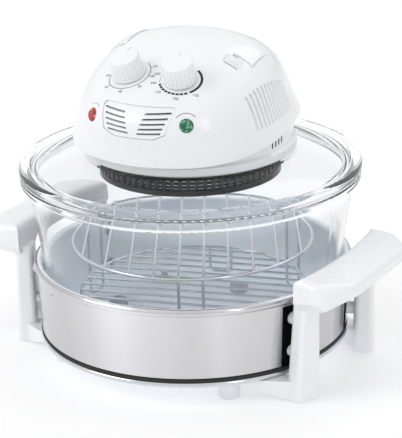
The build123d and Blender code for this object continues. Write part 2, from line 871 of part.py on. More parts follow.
with BuildPart() as lamp_clips:
    for angle in (0.0, 90.0, 180.0):
        clip = facing(angle, 0)
        hook = Plane(origin=clip.origin, x_dir=clip.z_dir, z_dir=Vector(0, 0, 0) - clip.x_dir)
        with BuildSketch(hook):
            with Locations((lamp_ring_radius, lamp_ring_z)):
                Circle(lamp_tube_radius + 1)
                Circle(lamp_tube_radius + lamp_clip_gap, mode=Mode.SUBTRACT)
        extrude(amount=lamp_clip_width / 2, both=True)
        with BuildSketch(hook):
            with Locations((lamp_ring_radius, (lamp_ring_z + lamp_tube_radius + 0.5 + reflector_low) / 2)):
                Rectangle(1.2, reflector_low - lamp_ring_z - lamp_tube_radius - 0.5)
        extrude(amount=lamp_clip_width / 2, both=True)

# ---------------------------------------------------------------- shaft and fans
with BuildPart() as motor_shaft:
    with BuildSketch(Plane.XY.offset(shaft_low)):
        Circle(shaft_radius)
    extrude(amount=shaft_high - shaft_low)

with BuildPart() as convection_fan:
    with BuildSketch(Plane.XY.offset(fan_low)):
        Circle(fan_hub_radius)
    extrude(amount=fan_high - fan_low)
    with BuildSketch(Plane.XY.offset(fan_high - fan_plate)):
        Circle(fan_radius)
    extrude(amount=fan_plate)
    with BuildSketch(Plane.XY.offset(fan_low + 1)):
        for n in range(fan_blades):
            with Locations(Location((0, 0, 0), (0, 0, 360 / fan_blades * n))):
                with Locations(Location(((fan_radius + fan_hub_radius) / 2, 2.0, 0), (0, 0, 12))):
                    Rectangle(fan_radius - fan_hub_radius - 1, fan_blade_thickness)
    extrude(amount=fan_high - fan_low - 1)
    with BuildSketch(Plane.XY.offset(fan_low)):
        Circle(shaft_radius)
    extrude(amount=fan_high - fan_low, mode=Mode.SUBTRACT)

with BuildPart() as shaft_nut:
    with BuildSketch(Plane.XY.offset(fan_low)):
        RegularPolygon(nut_across_radius, 6)
        Circle(shaft_radius, mode=Mode.SUBTRACT)
    extrude(amount=-shaft_nut_height)

with BuildPart() as cooling_fan:
    with BuildSketch(Plane.XY.offset(cooling_low)):
        Circle(fan_hub_radius)
        for n in range(cooling_blades):
            with Locations(Location((0, 0, 0), (0, 0, 360 / cooling_blades * n))):
                with Locations(Location(((cooling_radius + fan_hub_radius) / 2 - 1, 0, 0), (0, 0, 6))):
                    Rectangle(cooling_radius - fan_hub_radius + 2, fan_blade_thickness + 0.5)
        Circle(shaft_radius, mode=Mode.SUBTRACT)
    extrude(amount=cooling_high - cooling_low)

with BuildPart() as motor:
    with BuildSketch(Plane.XY.offset(motor_low)):
        Circle(motor_radius)
    extrude(amount=motor_high - motor_low)
    fillet(motor.edges().group_by(Axis.Z)[-1], 3)
    with BuildSketch(Plane.XY.offset(motor_low)):
        Circle(motor_neck_radius)
    extrude(amount=-bracket_sheet - 1)
    with BuildSketch(Plane.XY.offset(motor_low - bracket_sheet - 1)):
        Circle(shaft_radius + running_gap)
    extrude(amount=motor_high, mode=Mode.SUBTRACT)

collar_floor_top = collar_bottom + collar_floor
with BuildPart() as motor_bracket:
    with BuildSketch(Plane.XZ):
        with BuildLine():
            Polyline(
                (-bracket_half_span - bracket_foot, collar_floor_top),
                (-bracket_half_span, collar_floor_top),
                (-bracket_half_span, motor_low - bracket_sheet),
                (bracket_half_span, motor_low - bracket_sheet),
                (bracket_half_span, collar_floor_top),
                (bracket_half_span + bracket_foot, collar_floor_top),
                (bracket_half_span + bracket_foot, collar_floor_top + bracket_sheet),
                (bracket_half_span + bracket_sheet, collar_floor_top + bracket_sheet),
                (bracket_half_span + bracket_sheet, motor_low),
                (-bracket_half_span - bracket_sheet, motor_low),
                (-bracket_half_span - bracket_sheet, collar_floor_top + bracket_sheet),
                (-bracket_half_span - bracket_foot, collar_floor_top + bracket_sheet),
                close=True,
            )
        make_face()
    extrude(amount=bracket_width / 2, both=True)
    with BuildSketch(Plane.XY.offset(motor_low - bracket_sheet)):
        Circle(motor_neck_radius)
    extrude(amount=bracket_sheet, mode=Mode.SUBTRACT)


# ================================================================ head
slope_reach = 140.0  # past the head on every side
form_top = head_sections[-1][0] + 12


def seam_slab(low, high):
    """A slab along the sloping seam, between two heights measured from it."""
    with BuildPart() as slab:
        with BuildSketch(Plane.YZ):
            with BuildLine():
                Polyline(
                    (-slope_reach, seam_z(-slope_reach) + low),
                    (slope_reach, seam_z(slope_reach) + low),
                    (slope_reach, seam_z(slope_reach) + high),
                    (-slope_reach, seam_z(-slope_reach) + high),
                    close=True,
                )
            make_face()
        extrude(amount=slope_reach, both=True)
    return slab.part


with BuildPart() as head_collar:
    with BuildSketch(Plane.XZ):
        with BuildLine():
            Polyline(
                (collar_opening, collar_bottom),
                (collar_flange_radius, collar_bottom),
                (collar_flange_radius, collar_bottom + collar_flange_height - 2),
                (collar_radius, collar_bottom + collar_flange_height),
                (collar_radius, seam_z(collar_radius)),
                (collar_radius - collar_wall, seam_z(collar_radius)),
                (collar_radius - collar_wall, collar_floor_top),
                (collar_opening, collar_floor_top),
                close=True,
            )
        make_face()
    revolve(axis=Axis.Z)
    add(seam_slab(-seam_gap / 2, slope_reach), mode=Mode.SUBTRACT)
    with BuildSketch(Plane.XY.offset(collar_bottom)):
        with Locations(*screw_places):
            Circle(head_screw_radius + running_gap)
    extrude(amount=collar_floor, mode=Mode.SUBTRACT)
    for side in (-1, 1):
        for n in range(side_slot_count):
            turn = -side_slot_angle + (n - (side_slot_count - 1) / 2) * side_slot_pitch
            angle = turn if side > 0 else 180 - turn
            top = seam_z(collar_radius * sin(radians(angle))) - side_slot_drop
            with BuildSketch(facing(angle).offset(collar_radius - 2 * collar_wall)):
                with Locations((0, top - side_slot_height / 2)):
                    Rectangle(side_slot_width, side_slot_height)
            extrude(amount=3 * collar_wall, mode=Mode.SUBTRACT)
    with BuildSketch(facing(90, gland_z).offset(collar_radius - 10)):
        Circle(gland_radius + running_gap)
    extrude(amount=20, mode=Mode.SUBTRACT)

with BuildPart() as cord_gland:
    with BuildSketch(facing(90, gland_z).offset(collar_radius)):
        Circle(gland_radius)
    extrude(amount=gland_length / 2, both=True)
    with BuildSketch(facing(90, gland_z).offset(collar_radius)):
        Circle(gland_flange_radius)
    extrude(amount=gland_flange)
    with BuildSketch(facing(90, gland_z).offset(collar_radius)):
        Circle(gland_bore)
    extrude(amount=gland_length, both=True, mode=Mode.SUBTRACT)

with BuildPart() as terminal_block:
    with Locations((0, terminal_y, collar_floor_top)):
        Box(*terminal_size, align=(Align.CENTER, Align.CENTER, Align.MIN))
    with BuildSketch(Plane.XY.offset(collar_floor_top + terminal_size[2])):
        with Locations((0, terminal_y)):
            with GridLocations(terminal_size[0] / 3, 1, 3, 1):
                Circle(2)
    extrude(amount=-5, mode=Mode.SUBTRACT)

with BuildPart() as thermal_fuse:
    with BuildSketch(Plane.YZ.offset(-fuse_length / 2)):
        with Locations((fuse_y, collar_bottom + board_thickness + fuse_radius)):
            Circle(fuse_radius)
    extrude(amount=fuse_length)

with BuildPart() as head_screws:
    with BuildSketch(Plane.XY.offset(reflector_low - lug_thickness)):
        with Locations(*screw_places):
            Circle(head_screw_radius)
    extrude(amount=collar_floor_top + head_screw_grip - reflector_low + lug_thickness)
    with BuildSketch(Plane.XY.offset(reflector_low - lug_thickness)):
        with Locations(*screw_places):
            Circle(screw_head_radius)
    extrude(amount=-screw_head_height)


# ---------------------------------------------------------------- shapes shared by the head's pieces
def strap_plan(margin):
    """The folded strap's U-shaped plan as a tall prism, grown by a margin."""
    with BuildPart() as prism:
        with BuildSketch(Plane.XY.offset(head_base)):
            with BuildLine():
                outer = FilletPolyline(
                    (-strap_outer_x - margin, strap_front_y - margin),
                    (-strap_outer_x - margin, strap_back_y + margin),
                    (strap_outer_x + margin, strap_back_y + margin),
                    (strap_outer_x + margin, strap_front_y - margin),
                    radius=(strap_outer_corner + margin, strap_outer_corner + margin),
                )
                Line(outer @ 1, (strap_inner_x - margin, strap_front_y - margin))
                inner = FilletPolyline(
                    (strap_inner_x - margin, strap_front_y - margin),
                    (strap_inner_x - margin, strap_inner_back_y - margin),
                    (-strap_inner_x + margin, strap_inner_back_y - margin),
                    (-strap_inner_x + margin, strap_front_y - margin),
                    radius=(strap_inner_corner - margin, strap_inner_corner - margin),
                )
                Line(inner @ 1, outer @ 0)
            make_face()
        extrude(amount=form_top - head_base)
    return prism.part


def arm_block(front_y, back_y, low_z, high_z, inner_x, outer_x, radius=0.0):
    """A box over each arm; with a radius, only the part within it of the pivot."""
    with BuildPart() as pair:
        for side in (-1, 1):
            with BuildSketch(Plane.YZ.offset(side * (inner_x + outer_x) / 2)):
                with Locations(((front_y + back_y) / 2, (low_z + high_z) / 2)):
                    Rectangle(back_y - front_y, high_z - low_z)
                if radius:
                    with Locations((pivot_y, pivot_z)):
                        Circle(radius, mode=Mode.INTERSECT)
            extrude(amount=(outer_x - inner_x) / 2, both=True)
    return pair.part


def arm_cylinder(radius, inner_x, outer_x):
    """A cylinder about the strap's pivot, on both arms."""
    with BuildPart() as pair:
        for side in (-1, 1):
            with BuildSketch(Plane.YZ.offset(side * (inner_x + outer_x) / 2)):
                with Locations((pivot_y, pivot_z)):
                    Circle(radius)
            extrude(amount=(outer_x - inner_x) / 2, both=True)
    return pair.part


def knob_plane(side, height=0.0):
    """Plane over the panel at a dial: side -1 is the timer's, +1 the thermostat's."""
    tilt, splay = radians(dial_tilt), radians(dial_splay)
    out = Vector(side * sin(tilt) * sin(splay), -sin(tilt) * cos(splay), cos(tilt))
    across = Vector(cos(splay), side * sin(splay), 0)
    return Plane(origin=(side * dial_x, dial_y, dial_z), x_dir=across, z_dir=out).offset(height)


def lamp_plane(side, height=0.0):
    """Plane over the front at a signal lamp."""
    lift, splay = radians(lamp_lift), radians(lamp_splay)
    out = Vector(side * cos(lift) * sin(splay), -cos(lift) * cos(splay), sin(lift))
    across = Vector(cos(splay), side * sin(splay), 0)
    return Plane(origin=(side * lamp_x, lamp_y, lamp_z), x_dir=across, z_dir=out).offset(height)


def vent_prism(margin):
    """The vent panel's outline pushed back through the front."""
    right = [(x + margin, z + (-margin if n else margin)) for n, (x, z) in enumerate(vent_outline)]
    left = [(-x, z) for x, z in reversed(right)]
    with BuildPart() as prism:
        with BuildSketch(Plane.XZ):
            with BuildLine():
                FilletPolyline(*right, *left, radius=vent_corner, close=True)
            make_face()
        extrude(amount=slope_reach)
    return prism.part


def button_prism(margin):
    """The lock button's plan as a tall prism."""
    with BuildPart() as prism:
        with BuildSketch(Plane.XY.offset(button_floor_z - margin)):
            with Locations((button_x, button_y)):
                RectangleRounded(button_width + 2 * margin, button_length + 2 * margin, 1.5)
        extrude(amount=form_top - button_floor_z)
    return prism.part


recess_floor = strap_thickness - strap_proud + recess_gap
recess_margin = recess_gap + recess_wall
recess_front = strap_front_y - recess_gap
relief_back = pivot_y + pivot_relief
relief_low = pivot_z - pivot_relief
outer_form = head_form(0)
strap_form = head_form(-strap_proud)

def side_reach(y, z):
    """How far the head's side stands off the axis at a depth and a height."""
    for low_row, high_row in zip(head_sections, head_sections[1:]):
        if z <= high_row[0]:
            break
    share = (z - low_row[0]) / (high_row[0] - low_row[0])
    _, half_width, front, back, roundness = (p + share * (q - p) for p, q in zip(low_row, high_row))
    off = abs(y - (back - front) / 2) / ((back + front) / 2)
    return half_width * (1 - off**roundness) ** (1 / roundness)


with BuildPart() as side_comb:
    for n in range(groove_count):
        y = groove_first_y + n * groove_pitch
        share = n / (groove_count - 1)
        high = groove_high + groove_crown * 4 * share * (1 - share)
        low = groove_low + groove_rise * share
        for side in (-1, 1):
            with BuildSketch(Plane(origin=(0, y, 0), x_dir=(side, 0, 0), z_dir=(0, -side, 0))):
                with BuildLine():
                    Polyline(
                        (side_reach(y, low) - groove_depth, low),
                        (side_reach(y, high) - groove_depth, high),
                        (slope_reach, high),
                        (slope_reach, low),
                        close=True,
                    )
                make_face()
            extrude(amount=groove_width / 2, both=True)

# everything that hangs inside the shell: the strap's tubs, the pin bosses, the inward ledge along
# the seam, the safety switch's shelf and the four screw posts
with BuildPart() as ledge:
    add(seam_slab(seam_gap / 2, seam_gap / 2 + shell_wall))
    with Locations((0, 0, head_base)):
        Cylinder(
            collar_radius - 2 * collar_wall,
            form_top - head_base,
            align=(Align.CENTER, Align.CENTER, Align.MIN),
            mode=Mode.SUBTRACT,
        )
with BuildPart() as inner_work:
    add(strap_plan(recess_margin))
    add(head_form(recess_floor + recess_wall), mode=Mode.SUBTRACT)
    add(
        arm_block(
            strap_front_y - recess_margin, relief_back + recess_wall, relief_low - recess_wall, form_top,
            strap_inner_x - recess_margin, strap_outer_x + recess_margin, pivot_relief + recess_wall,
        )
    )
    add(arm_cylinder(pivot_pin_radius + 2.5, pivot_pin_inner_x - 1, strap_inner_x - recess_gap))
    with BuildSketch(Plane.XY.offset(switch_top - switch_size[2] - shell_wall)):
        with Locations((slope_reach / 2 + shelf_inner_x, button_y)):
            Rectangle(slope_reach, switch_size[1] + 2)
    extrude(amount=shell_wall)
    with BuildSketch(Plane.XY.offset(collar_floor_top)):
        with Locations(*screw_places):
            Circle(screw_post_radius)
    extrude(amount=form_top - collar_floor_top)
    add(ledge.part)
    add(outer_form, mode=Mode.INTERSECT)

with BuildPart() as channel:
    add(strap_plan(recess_gap))
    add(head_form(recess_floor), mode=Mode.SUBTRACT)

with BuildPart() as small_openings:
    add(
        arm_block(
            recess_front, relief_back + recess_wall, relief_low - recess_wall, form_top,
            strap_inner_x - recess_gap, strap_outer_x + recess_gap, pivot_relief,
        )
    )
    add(arm_cylinder(pivot_sweep + recess_gap, strap_inner_x - recess_gap, strap_outer_x + recess_gap))
    add(arm_cylinder(pivot_undercut, strap_inner_x - recess_gap, strap_inner_x + pivot_undercut_width))
    add(arm_cylinder(pivot_pin_radius, pivot_pin_inner_x, strap_inner_x))
    for side in (-1, 1):
        with BuildSketch(knob_plane(side, -shell_wall - 4)):
            Circle(bushing_radius + 0.2)
        extrude(amount=shell_wall + 8)
        # flat seats for the nut outside and the control's shoulder inside
        with BuildSketch(knob_plane(side, seat_gap)):
            Circle(nut_radius + 0.3)
        extrude(amount=nut_height + 1)
        with BuildSketch(knob_plane(side, -shell_wall - seat_gap)):
            Circle(shoulder_radius + 0.3)
        extrude(amount=seat_gap - control_depth)
        with BuildSketch(lamp_plane(side, -shell_wall - 6)):
            Circle(lens_radius + 0.1)
        extrude(amount=shell_wall + 12)
    add(vent_prism(vent_gap))
    add(button_prism(button_gap))
    with BuildSketch(Plane.XY.offset(button_floor_z)):
        with Locations((button_x, button_y - button_length / 2)):
            Rectangle(button_width - 2, 2 * button_front_gap)
    extrude(amount=form_top - button_floor_z)
    with BuildSketch(Plane.XY.offset(collar_floor_top)):
        with Locations(*screw_places):
            Circle(head_screw_radius + running_gap)
    extrude(amount=head_screw_grip + 1)

with BuildPart() as head_shell:
    add(outer_form)
    add([head_form(shell_wall), seam_slab(seam_gap / 2 - slope_reach, seam_gap / 2)], mode=Mode.SUBTRACT)
    add(inner_work.part)
    add([channel.part, small_openings.part, side_comb.part], mode=Mode.SUBTRACT)

# ---------------------------------------------------------------- vent panel and signal lamps
with BuildPart() as vent_grille:
    add(vent_prism(0))
    add(head_form(vent_sink), mode=Mode.INTERSECT)
    with BuildPart(mode=Mode.PRIVATE) as vent_flange:
        add(vent_prism(vent_flange_margin))
        add(head_form(shell_wall + 0.1), mode=Mode.INTERSECT)
    add(vent_flange.part)
    add(head_form(shell_wall + 0.1 + vent_flange_thickness), mode=Mode.SUBTRACT)
    with BuildSketch(Plane.XZ):
        for side in (-1, 1):
            for row in range(vent_slot_rows):
                inner = vent_slot_inner_x - row * vent_slot_inner_step
                outer = vent_slot_outer_x - row * vent_slot_outer_step
                z = vent_slot_top - row * vent_slot_pitch
                tilt = degrees(asin(vent_slot_rise / (outer - inner)))
                with Locations(Location((side * (inner + outer) / 2, z, 0), (0, 0, side * tilt))):
                    SlotOverall(outer - inner, vent_slot_height)
    extrude(amount=slope_reach, mode=Mode.SUBTRACT)

lenses = []
for side in (-1, 1):
    with BuildPart() as lens:
        with BuildSketch(lamp_plane(side, lens_proud - lens_length)):
            Circle(lens_radius)
        extrude(amount=lens_length)
        outward = Axis(lamp_plane(side).origin, lamp_plane(side).z_dir)
        fillet(lens.faces().sort_by(outward)[-1].edges(), lens_proud * 0.75)
    lenses.append(lens)
power_lens, heat_lens = lenses

with BuildPart() as pilot_lamps:
    for side in (-1, 1):
        with BuildSketch(lamp_plane(side, lens_proud - lens_length)):
            Circle(lens_radius - 1)
        extrude(amount=-pilot_length)

# ---------------------------------------------------------------- timer, thermostat and their knobs
shoulder_top = -shell_wall - 0.1
spindle_low = -control_depth - 4
controls = []
for side, (width, depth, height) in ((-1, timer_size), (1, thermostat_size)):
    with BuildPart() as control:
        with BuildSketch(knob_plane(side, -control_depth)):
            Rectangle(width, depth)
        extrude(amount=-height)
        with BuildSketch(knob_plane(side, -control_depth)):
            Circle(shoulder_radius)
        extrude(amount=control_depth + shoulder_top)
        with BuildSketch(knob_plane(side, -control_depth)):
            Circle(bushing_radius)
        extrude(amount=control_depth + bushing_top)
        with BuildSketch(knob_plane(side, spindle_low)):
            Circle(spindle_radius + running_gap)
        extrude(amount=bushing_top - spindle_low, mode=Mode.SUBTRACT)
    controls.append(control)
timer, thermostat = controls

with BuildPart() as bushing_nuts:
    for side in (-1, 1):
        with BuildSketch(knob_plane(side, 0.1)):
            RegularPolygon(nut_radius, 6)
            Circle(bushing_radius, mode=Mode.SUBTRACT)
        extrude(amount=nut_height)

spindles = []
knobs = []
for side in (-1, 1):
    with BuildPart() as spindle:
        with BuildSketch(knob_plane(side, spindle_low + 0.3)):
            Circle(spindle_radius)
        extrude(amount=spindle_length)
    spindles.append(spindle)
    with BuildPart() as knob:
        with BuildSketch(knob_plane(side, knob_gap)):
            Circle(knob_radius)
        extrude(amount=knob_skirt_height)
        with BuildSketch(knob_plane(side, knob_gap)):
            Circle(knob_body_radius)
        extrude(amount=knob_height)
        outward = Axis(knob_plane(side).origin, knob_plane(side).z_dir)
        fillet(knob.faces().sort_by(outward)[-1].edges(), knob_top_round)
        with BuildSketch(knob_plane(side, knob_gap + knob_skirt_height)):
            with PolarLocations(knob_body_radius + 0.5, knob_flutes):
                Circle(knob_flute_radius)
        extrude(amount=knob_height, mode=Mode.SUBTRACT)
        with BuildSketch(knob_plane(side, knob_gap)):
            Circle(knob_recess_radius)
        extrude(amount=knob_recess_depth, mode=Mode.SUBTRACT)
        with BuildSketch(knob_plane(side, knob_gap)):
            Circle(spindle_radius)
        extrude(amount=spindle_low + 0.3 + spindle_length - knob_gap, mode=Mode.SUBTRACT)
        with BuildSketch(knob_plane(side, knob_gap + knob_height)):
            with Locations((0, knob_body_radius * 0.7)):
                Rectangle(knob_mark_width, knob_body_radius * 0.6)
        extrude(amount=-knob_mark_depth, mode=Mode.SUBTRACT)
    knobs.append(knob)
timer_spindle, thermostat_spindle = spindles
timer_knob, thermostat_knob = knobs

# ---------------------------------------------------------------- carry handle, its pins, and the lock button
with BuildPart() as carry_handle:
    add(strap_plan(0))
    add(strap_form, mode=Mode.INTERSECT)
    add(head_form(strap_thickness - strap_proud), mode=Mode.SUBTRACT)
    with BuildPart(mode=Mode.PRIVATE) as front_corner:
        add(arm_block(pivot_y - 20, pivot_y, pivot_z, form_top, strap_inner_x - 1, strap_outer_x + 1))
        add(arm_cylinder(pivot_sweep, strap_inner_x - 2, strap_outer_x + 2), mode=Mode.SUBTRACT)
    add(front_corner.part, mode=Mode.SUBTRACT)
    with BuildPart(mode=Mode.PRIVATE) as hubs:
        add(arm_cylinder(hub_radius, strap_inner_x, pivot_pin_outer_x + 2))
        add(strap_form, mode=Mode.INTERSECT)
    add(hubs.part)
    add(
        arm_cylinder(pivot_pin_radius + running_gap, strap_inner_x - 1, pivot_pin_outer_x + 0.4),
        mode=Mode.SUBTRACT,
    )

with BuildPart() as handle_pins:
    add(arm_cylinder(pivot_pin_radius, pivot_pin_inner_x, pivot_pin_outer_x))

with BuildPart() as release_button:
    add(button_prism(0))
    add(head_form(button_sink), mode=Mode.INTERSECT)
    with BuildPart(mode=Mode.PRIVATE) as finger_ribs:
        for n in range(button_ribs):
            rib_y = button_y + (n - (button_ribs - 1) / 2) * button_rib_pitch
            with Locations((button_x, rib_y, button_floor_z)):
                Box(
                    button_width - 3,
                    button_rib_width,
                    form_top - button_floor_z,
                    align=(Align.CENTER, Align.CENTER, Align.MIN),
                )
        add(head_form(button_sink + button_rib_depth), mode=Mode.SUBTRACT)
    add(finger_ribs.part, mode=Mode.SUBTRACT)

with BuildPart() as safety_switch:
    with Locations((button_x, button_y, switch_top)):
        Box(*switch_size, align=(Align.CENTER, Align.CENTER, Align.MAX))


# ================================================================ write the pieces
base_pieces = {
    "steel_pan": steel_pan,
    "bottom_trim_ring": bottom_trim_ring,
    "band_gasket": band_gasket,
    "band_rivets": band_rivets,
    "bowl_pads": bowl_pads,
    "foot_screws": foot_screws,
    "foot_nuts": foot_nuts,
    "right_handle": right_handle,
    "left_handle": left_handle,
    "handle_screws": handle_screws,
    "glass_bowl": glass_bowl,
    "high_rack": high_rack,
    "low_rack": low_rack,
}
lid_pieces = {
    "glass_lid": glass_lid,
    "lid_gasket": lid_gasket,
    "fan_skirt": fan_skirt,
    "heater_guard": heater_guard,
    "reflector_plate": reflector_plate,
    "insulation_board": insulation_board,
    "halogen_lamp": halogen_lamp,
    "lamp_filament": lamp_filament,
    "lamp_holders": lamp_holders,
    "lamp_clips": lamp_clips,
    "motor_shaft": motor_shaft,
    "convection_fan": convection_fan,
    "shaft_nut": shaft_nut,
    "cooling_fan": cooling_fan,
    "motor": motor,
    "motor_bracket": motor_bracket,
    "head_collar": head_collar,
    "head_shell": head_shell,
    "head_screws": head_screws,
    "vent_grille": vent_grille,
    "power_lens": power_lens,
    "heat_lens": heat_lens,
    "pilot_lamps": pilot_lamps,
    "timer": timer,
    "thermostat": thermostat,
    "bushing_nuts": bushing_nuts,
    "timer_spindle": timer_spindle,
    "thermostat_spindle": thermostat_spindle,
    "timer_knob": timer_knob,
    "thermostat_knob": thermostat_knob,
    "carry_handle": carry_handle,
    "handle_pins": handle_pins,
    "release_button": release_button,
    "safety_switch": safety_switch,
    "cord_gland": cord_gland,
    "terminal_block": terminal_block,
    "thermal_fuse": thermal_fuse,
}
base_pieces.update(feet)
for name, piece in base_pieces.items():
    piece.part.label = name
    export_step(piece.part, f"parts/{name}.step")
for name, piece in lid_pieces.items():
    turned = piece.part.rotate(Axis.Z, lid_turn)
    turned.label = name
    export_step(turned, f"parts/{name}.step")
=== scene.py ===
import json
import math

import bmesh
import bpy
from mathutils import Matrix, Vector
from mathutils.bvhtree import BVHTree


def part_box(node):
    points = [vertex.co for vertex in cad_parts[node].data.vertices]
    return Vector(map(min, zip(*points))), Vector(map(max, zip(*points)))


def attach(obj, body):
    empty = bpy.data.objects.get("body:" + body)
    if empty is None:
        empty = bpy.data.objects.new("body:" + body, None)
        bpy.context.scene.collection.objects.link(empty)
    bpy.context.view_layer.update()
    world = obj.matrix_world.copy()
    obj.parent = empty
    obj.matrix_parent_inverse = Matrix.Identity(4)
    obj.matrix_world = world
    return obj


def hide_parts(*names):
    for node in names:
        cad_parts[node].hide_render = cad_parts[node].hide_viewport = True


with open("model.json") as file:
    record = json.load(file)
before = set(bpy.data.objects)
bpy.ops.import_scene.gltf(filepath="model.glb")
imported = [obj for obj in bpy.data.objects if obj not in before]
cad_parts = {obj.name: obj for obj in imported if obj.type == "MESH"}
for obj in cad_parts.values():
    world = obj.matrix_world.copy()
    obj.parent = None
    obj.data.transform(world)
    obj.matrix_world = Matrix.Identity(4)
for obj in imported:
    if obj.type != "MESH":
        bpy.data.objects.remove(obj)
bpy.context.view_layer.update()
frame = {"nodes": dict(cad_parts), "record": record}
nodes = frame["nodes"]
scene = bpy.context.scene
print("frame loaded,", len(nodes), "pieces")

cameraLook = {
    "aim": (7.37, 4.43, 127.0),  # mm, beside the bowl's axis
    "distance": 1745.0,
    "turn": 31.0,  # degrees round to the right of the front
    "lift": 19.74,
    "roll": -1.40,
    "focal": 1835.0,  # in pixels
    "longSide": 438,  # of the frame, in pixels
    "film": 36,  # mm
    "far": 20,  # metres
}


def placeCamera(look):
    turn, lift, roll = (math.radians(look[k]) for k in ("turn", "lift", "roll"))
    level = math.cos(lift)
    forward = Vector((-math.sin(turn) * level, math.cos(turn) * level, -math.sin(lift)))
    right = Vector((math.cos(turn), math.sin(turn), 0))
    up = right.cross(forward)
    across = math.cos(roll) * right + math.sin(roll) * up
    above = math.cos(roll) * up - math.sin(roll) * right
    camera = bpy.data.objects.new("studioCamera", bpy.data.cameras.new("studioCamera"))
    scene.collection.objects.link(camera)
    axes = Matrix((across, above, -forward)).transposed().to_4x4()
    spot = (Vector(look["aim"]) - look["distance"] * forward) / 1000
    camera.matrix_world = Matrix.Translation(spot) @ axes
    camera.data.sensor_width = look["film"]
    camera.data.lens = look["focal"] / look["longSide"] * look["film"]
    camera.data.clip_end = look["far"]
    scene.camera = camera


placeCamera(cameraLook)
print("camera placed")


class Socket:
    # a shader output that takes part in plain arithmetic
    def __init__(self, surface, link):
        self.surface, self.link = surface, link

    def math(self, operation, first, second):
        return self.surface.node("Math", {"operation": operation}, {0: first, 1: second})

    def __add__(self, other):
        return self.math("ADD", self, other)

    def __sub__(self, other):
        return self.math("SUBTRACT", self, other)

    def __rsub__(self, other):
        return self.math("SUBTRACT", other, self)

    def __mul__(self, other):
        return self.math("MULTIPLY", self, other)

    __radd__ = __add__
    __rmul__ = __mul__


class Surface:
    # one material; look holds the numbers that are the same all over it
    def __init__(self, name, look):
        self.material = bpy.data.materials.new(name)
        self.material.use_nodes = True
        self.tree = self.material.node_tree
        self.shader = self.tree.nodes["Principled BSDF"]
        for label, value in look.items():
            self.shader.inputs[label].default_value = value

    def feed(self, socket, value):
        if isinstance(value, Socket):
            self.tree.links.new(value.link, socket)
        else:
            socket.default_value = value

    def node(self, kind, settings=None, inputs=None, out=0):
        made = self.tree.nodes.new("ShaderNode" + kind)
        for key, value in (settings or {}).items():
            if key == "stops":
                stops = made.color_ramp.elements
                while len(stops) < len(value):
                    stops.new(0.5)
                for stop, (place, colour) in zip(stops, value):
                    stop.position, stop.color = place, colour
            else:
                setattr(made, key, value)
        for key, value in (inputs or {}).items():
            self.feed(made.inputs[key], value)
        return Socket(self, made.outputs[out])

    def wear(self, label, value):
        self.feed(self.shader.inputs[label], value)

    def place(self):
        return self.node("TexCoord", out=3)

    def noise(self, scale, detail=3.0, stretch=(1, 1, 1)):
        where = self.node("Mapping", None, {"Vector": self.place(), "Scale": stretch})
        return self.node("TexNoise", None, {"Vector": where, "Scale": scale, "Detail": detail})

    def vector(self, operation, first, second=None, out=0):
        inputs = {0: first} if second is None else {0: first, 1: second}
        return self.node("VectorMath", {"operation": operation}, inputs, out)

    def blend(self, mask, low, high):
        return self.node("Mix", {"data_type": "RGBA"}, {0: mask, 6: low, 7: high}, out=2)

    def bump(self, height, strength, distance):
        relief = {"Height": height, "Strength": strength, "Distance": distance}
        self.wear("Normal", self.node("Bump", None, relief))


class Tent(Surface):
    # the studio's surroundings, with the same way of adding nodes
    def __init__(self, world):
        self.tree = world.node_tree
        self.shader = self.tree.nodes["Background"]


def shade(r, g, b):
    return (r, g, b, 1.0)


def mouldedPlastic(name, colour, look):
    # moulded gloss: faint flow patches in the colour, uneven polish, and a fine grain where the look has one
    s = Surface(name, {"Specular IOR Level": look["shine"], "Coat Roughness": look["coatRough"]})
    patches = s.noise(look["patchScale"], look["detail"])
    low = shade(*(c * look["patchDepth"] for c in colour))
    s.wear("Base Color", s.blend(patches, low, shade(*colour)))
    s.wear("Roughness", look["rough"] + look["roughSpread"] * s.noise(look["polishScale"]))
    s.wear("Coat Weight", look["coat"] + look["coatSpread"] * patches)
    if look["grainDepth"]:
        s.bump(s.noise(look["grainScale"], look["detail"]), look["grainDepth"], 0.0002)
    return s.material


whiteLook = {
    "shine": 0.5, "coat": 0.45, "coatSpread": 0.1, "coatRough": 0.06,
    "rough": 0.24, "roughSpread": 0.1, "polishScale": 84.0, "detail": 2.0,
    "patchScale": 9.0, "patchDepth": 0.985, "grainScale": 420.0, "grainDepth": 0.0,
}
darkLook = dict(whiteLook, coat=0.0, rough=0.5, patchDepth=0.8, grainDepth=0.3)
feetLook = dict(whiteLook, coat=0.1, rough=0.36)

sheetLook = {
    # painted reflection: slow grey zones put into the outer face's colour
    "paintedReflectionZones": (
        (0.38, shade(0.70, 0.69, 0.712)), (0.50, shade(0.78, 0.772, 0.795)), (0.60, shade(0.86, 0.853, 0.876)),
    ),
    # painted reflection: grey put into the colour from the left side (0) to the right side (1), over the width
    # in metres
    "across": ((0.20, 0.76), (0.27, 0.79), (0.42, 0.97), (0.60, 1.0), (0.82, 0.80), (0.93, 0.68)),
    "width": 0.30,
    "inner": (shade(0.84, 0.875, 0.92), shade(0.92, 0.945, 0.98)),
    # the inner face's glow is painted light, which brightens the inside of the pan as if lit
    "innerRough": 0.34, "innerMetal": 0.18, "innerPaintedGlow": 0.15, "glow": shade(0.82, 0.90, 1.0),
    "roughStep": -0.26, "lineSpread": 0.10, "facing": 0.15,
    "lineScale": 40.0, "lineDetail": 4.0, "lineStretch": (0.3, 0.3, 60.0), "lineShare": 0.25,
    "slowScale": 11.0, "slowStretch": (1, 1, 0.12), "wave": 0.14, "waveDistance": 0.0008,
}


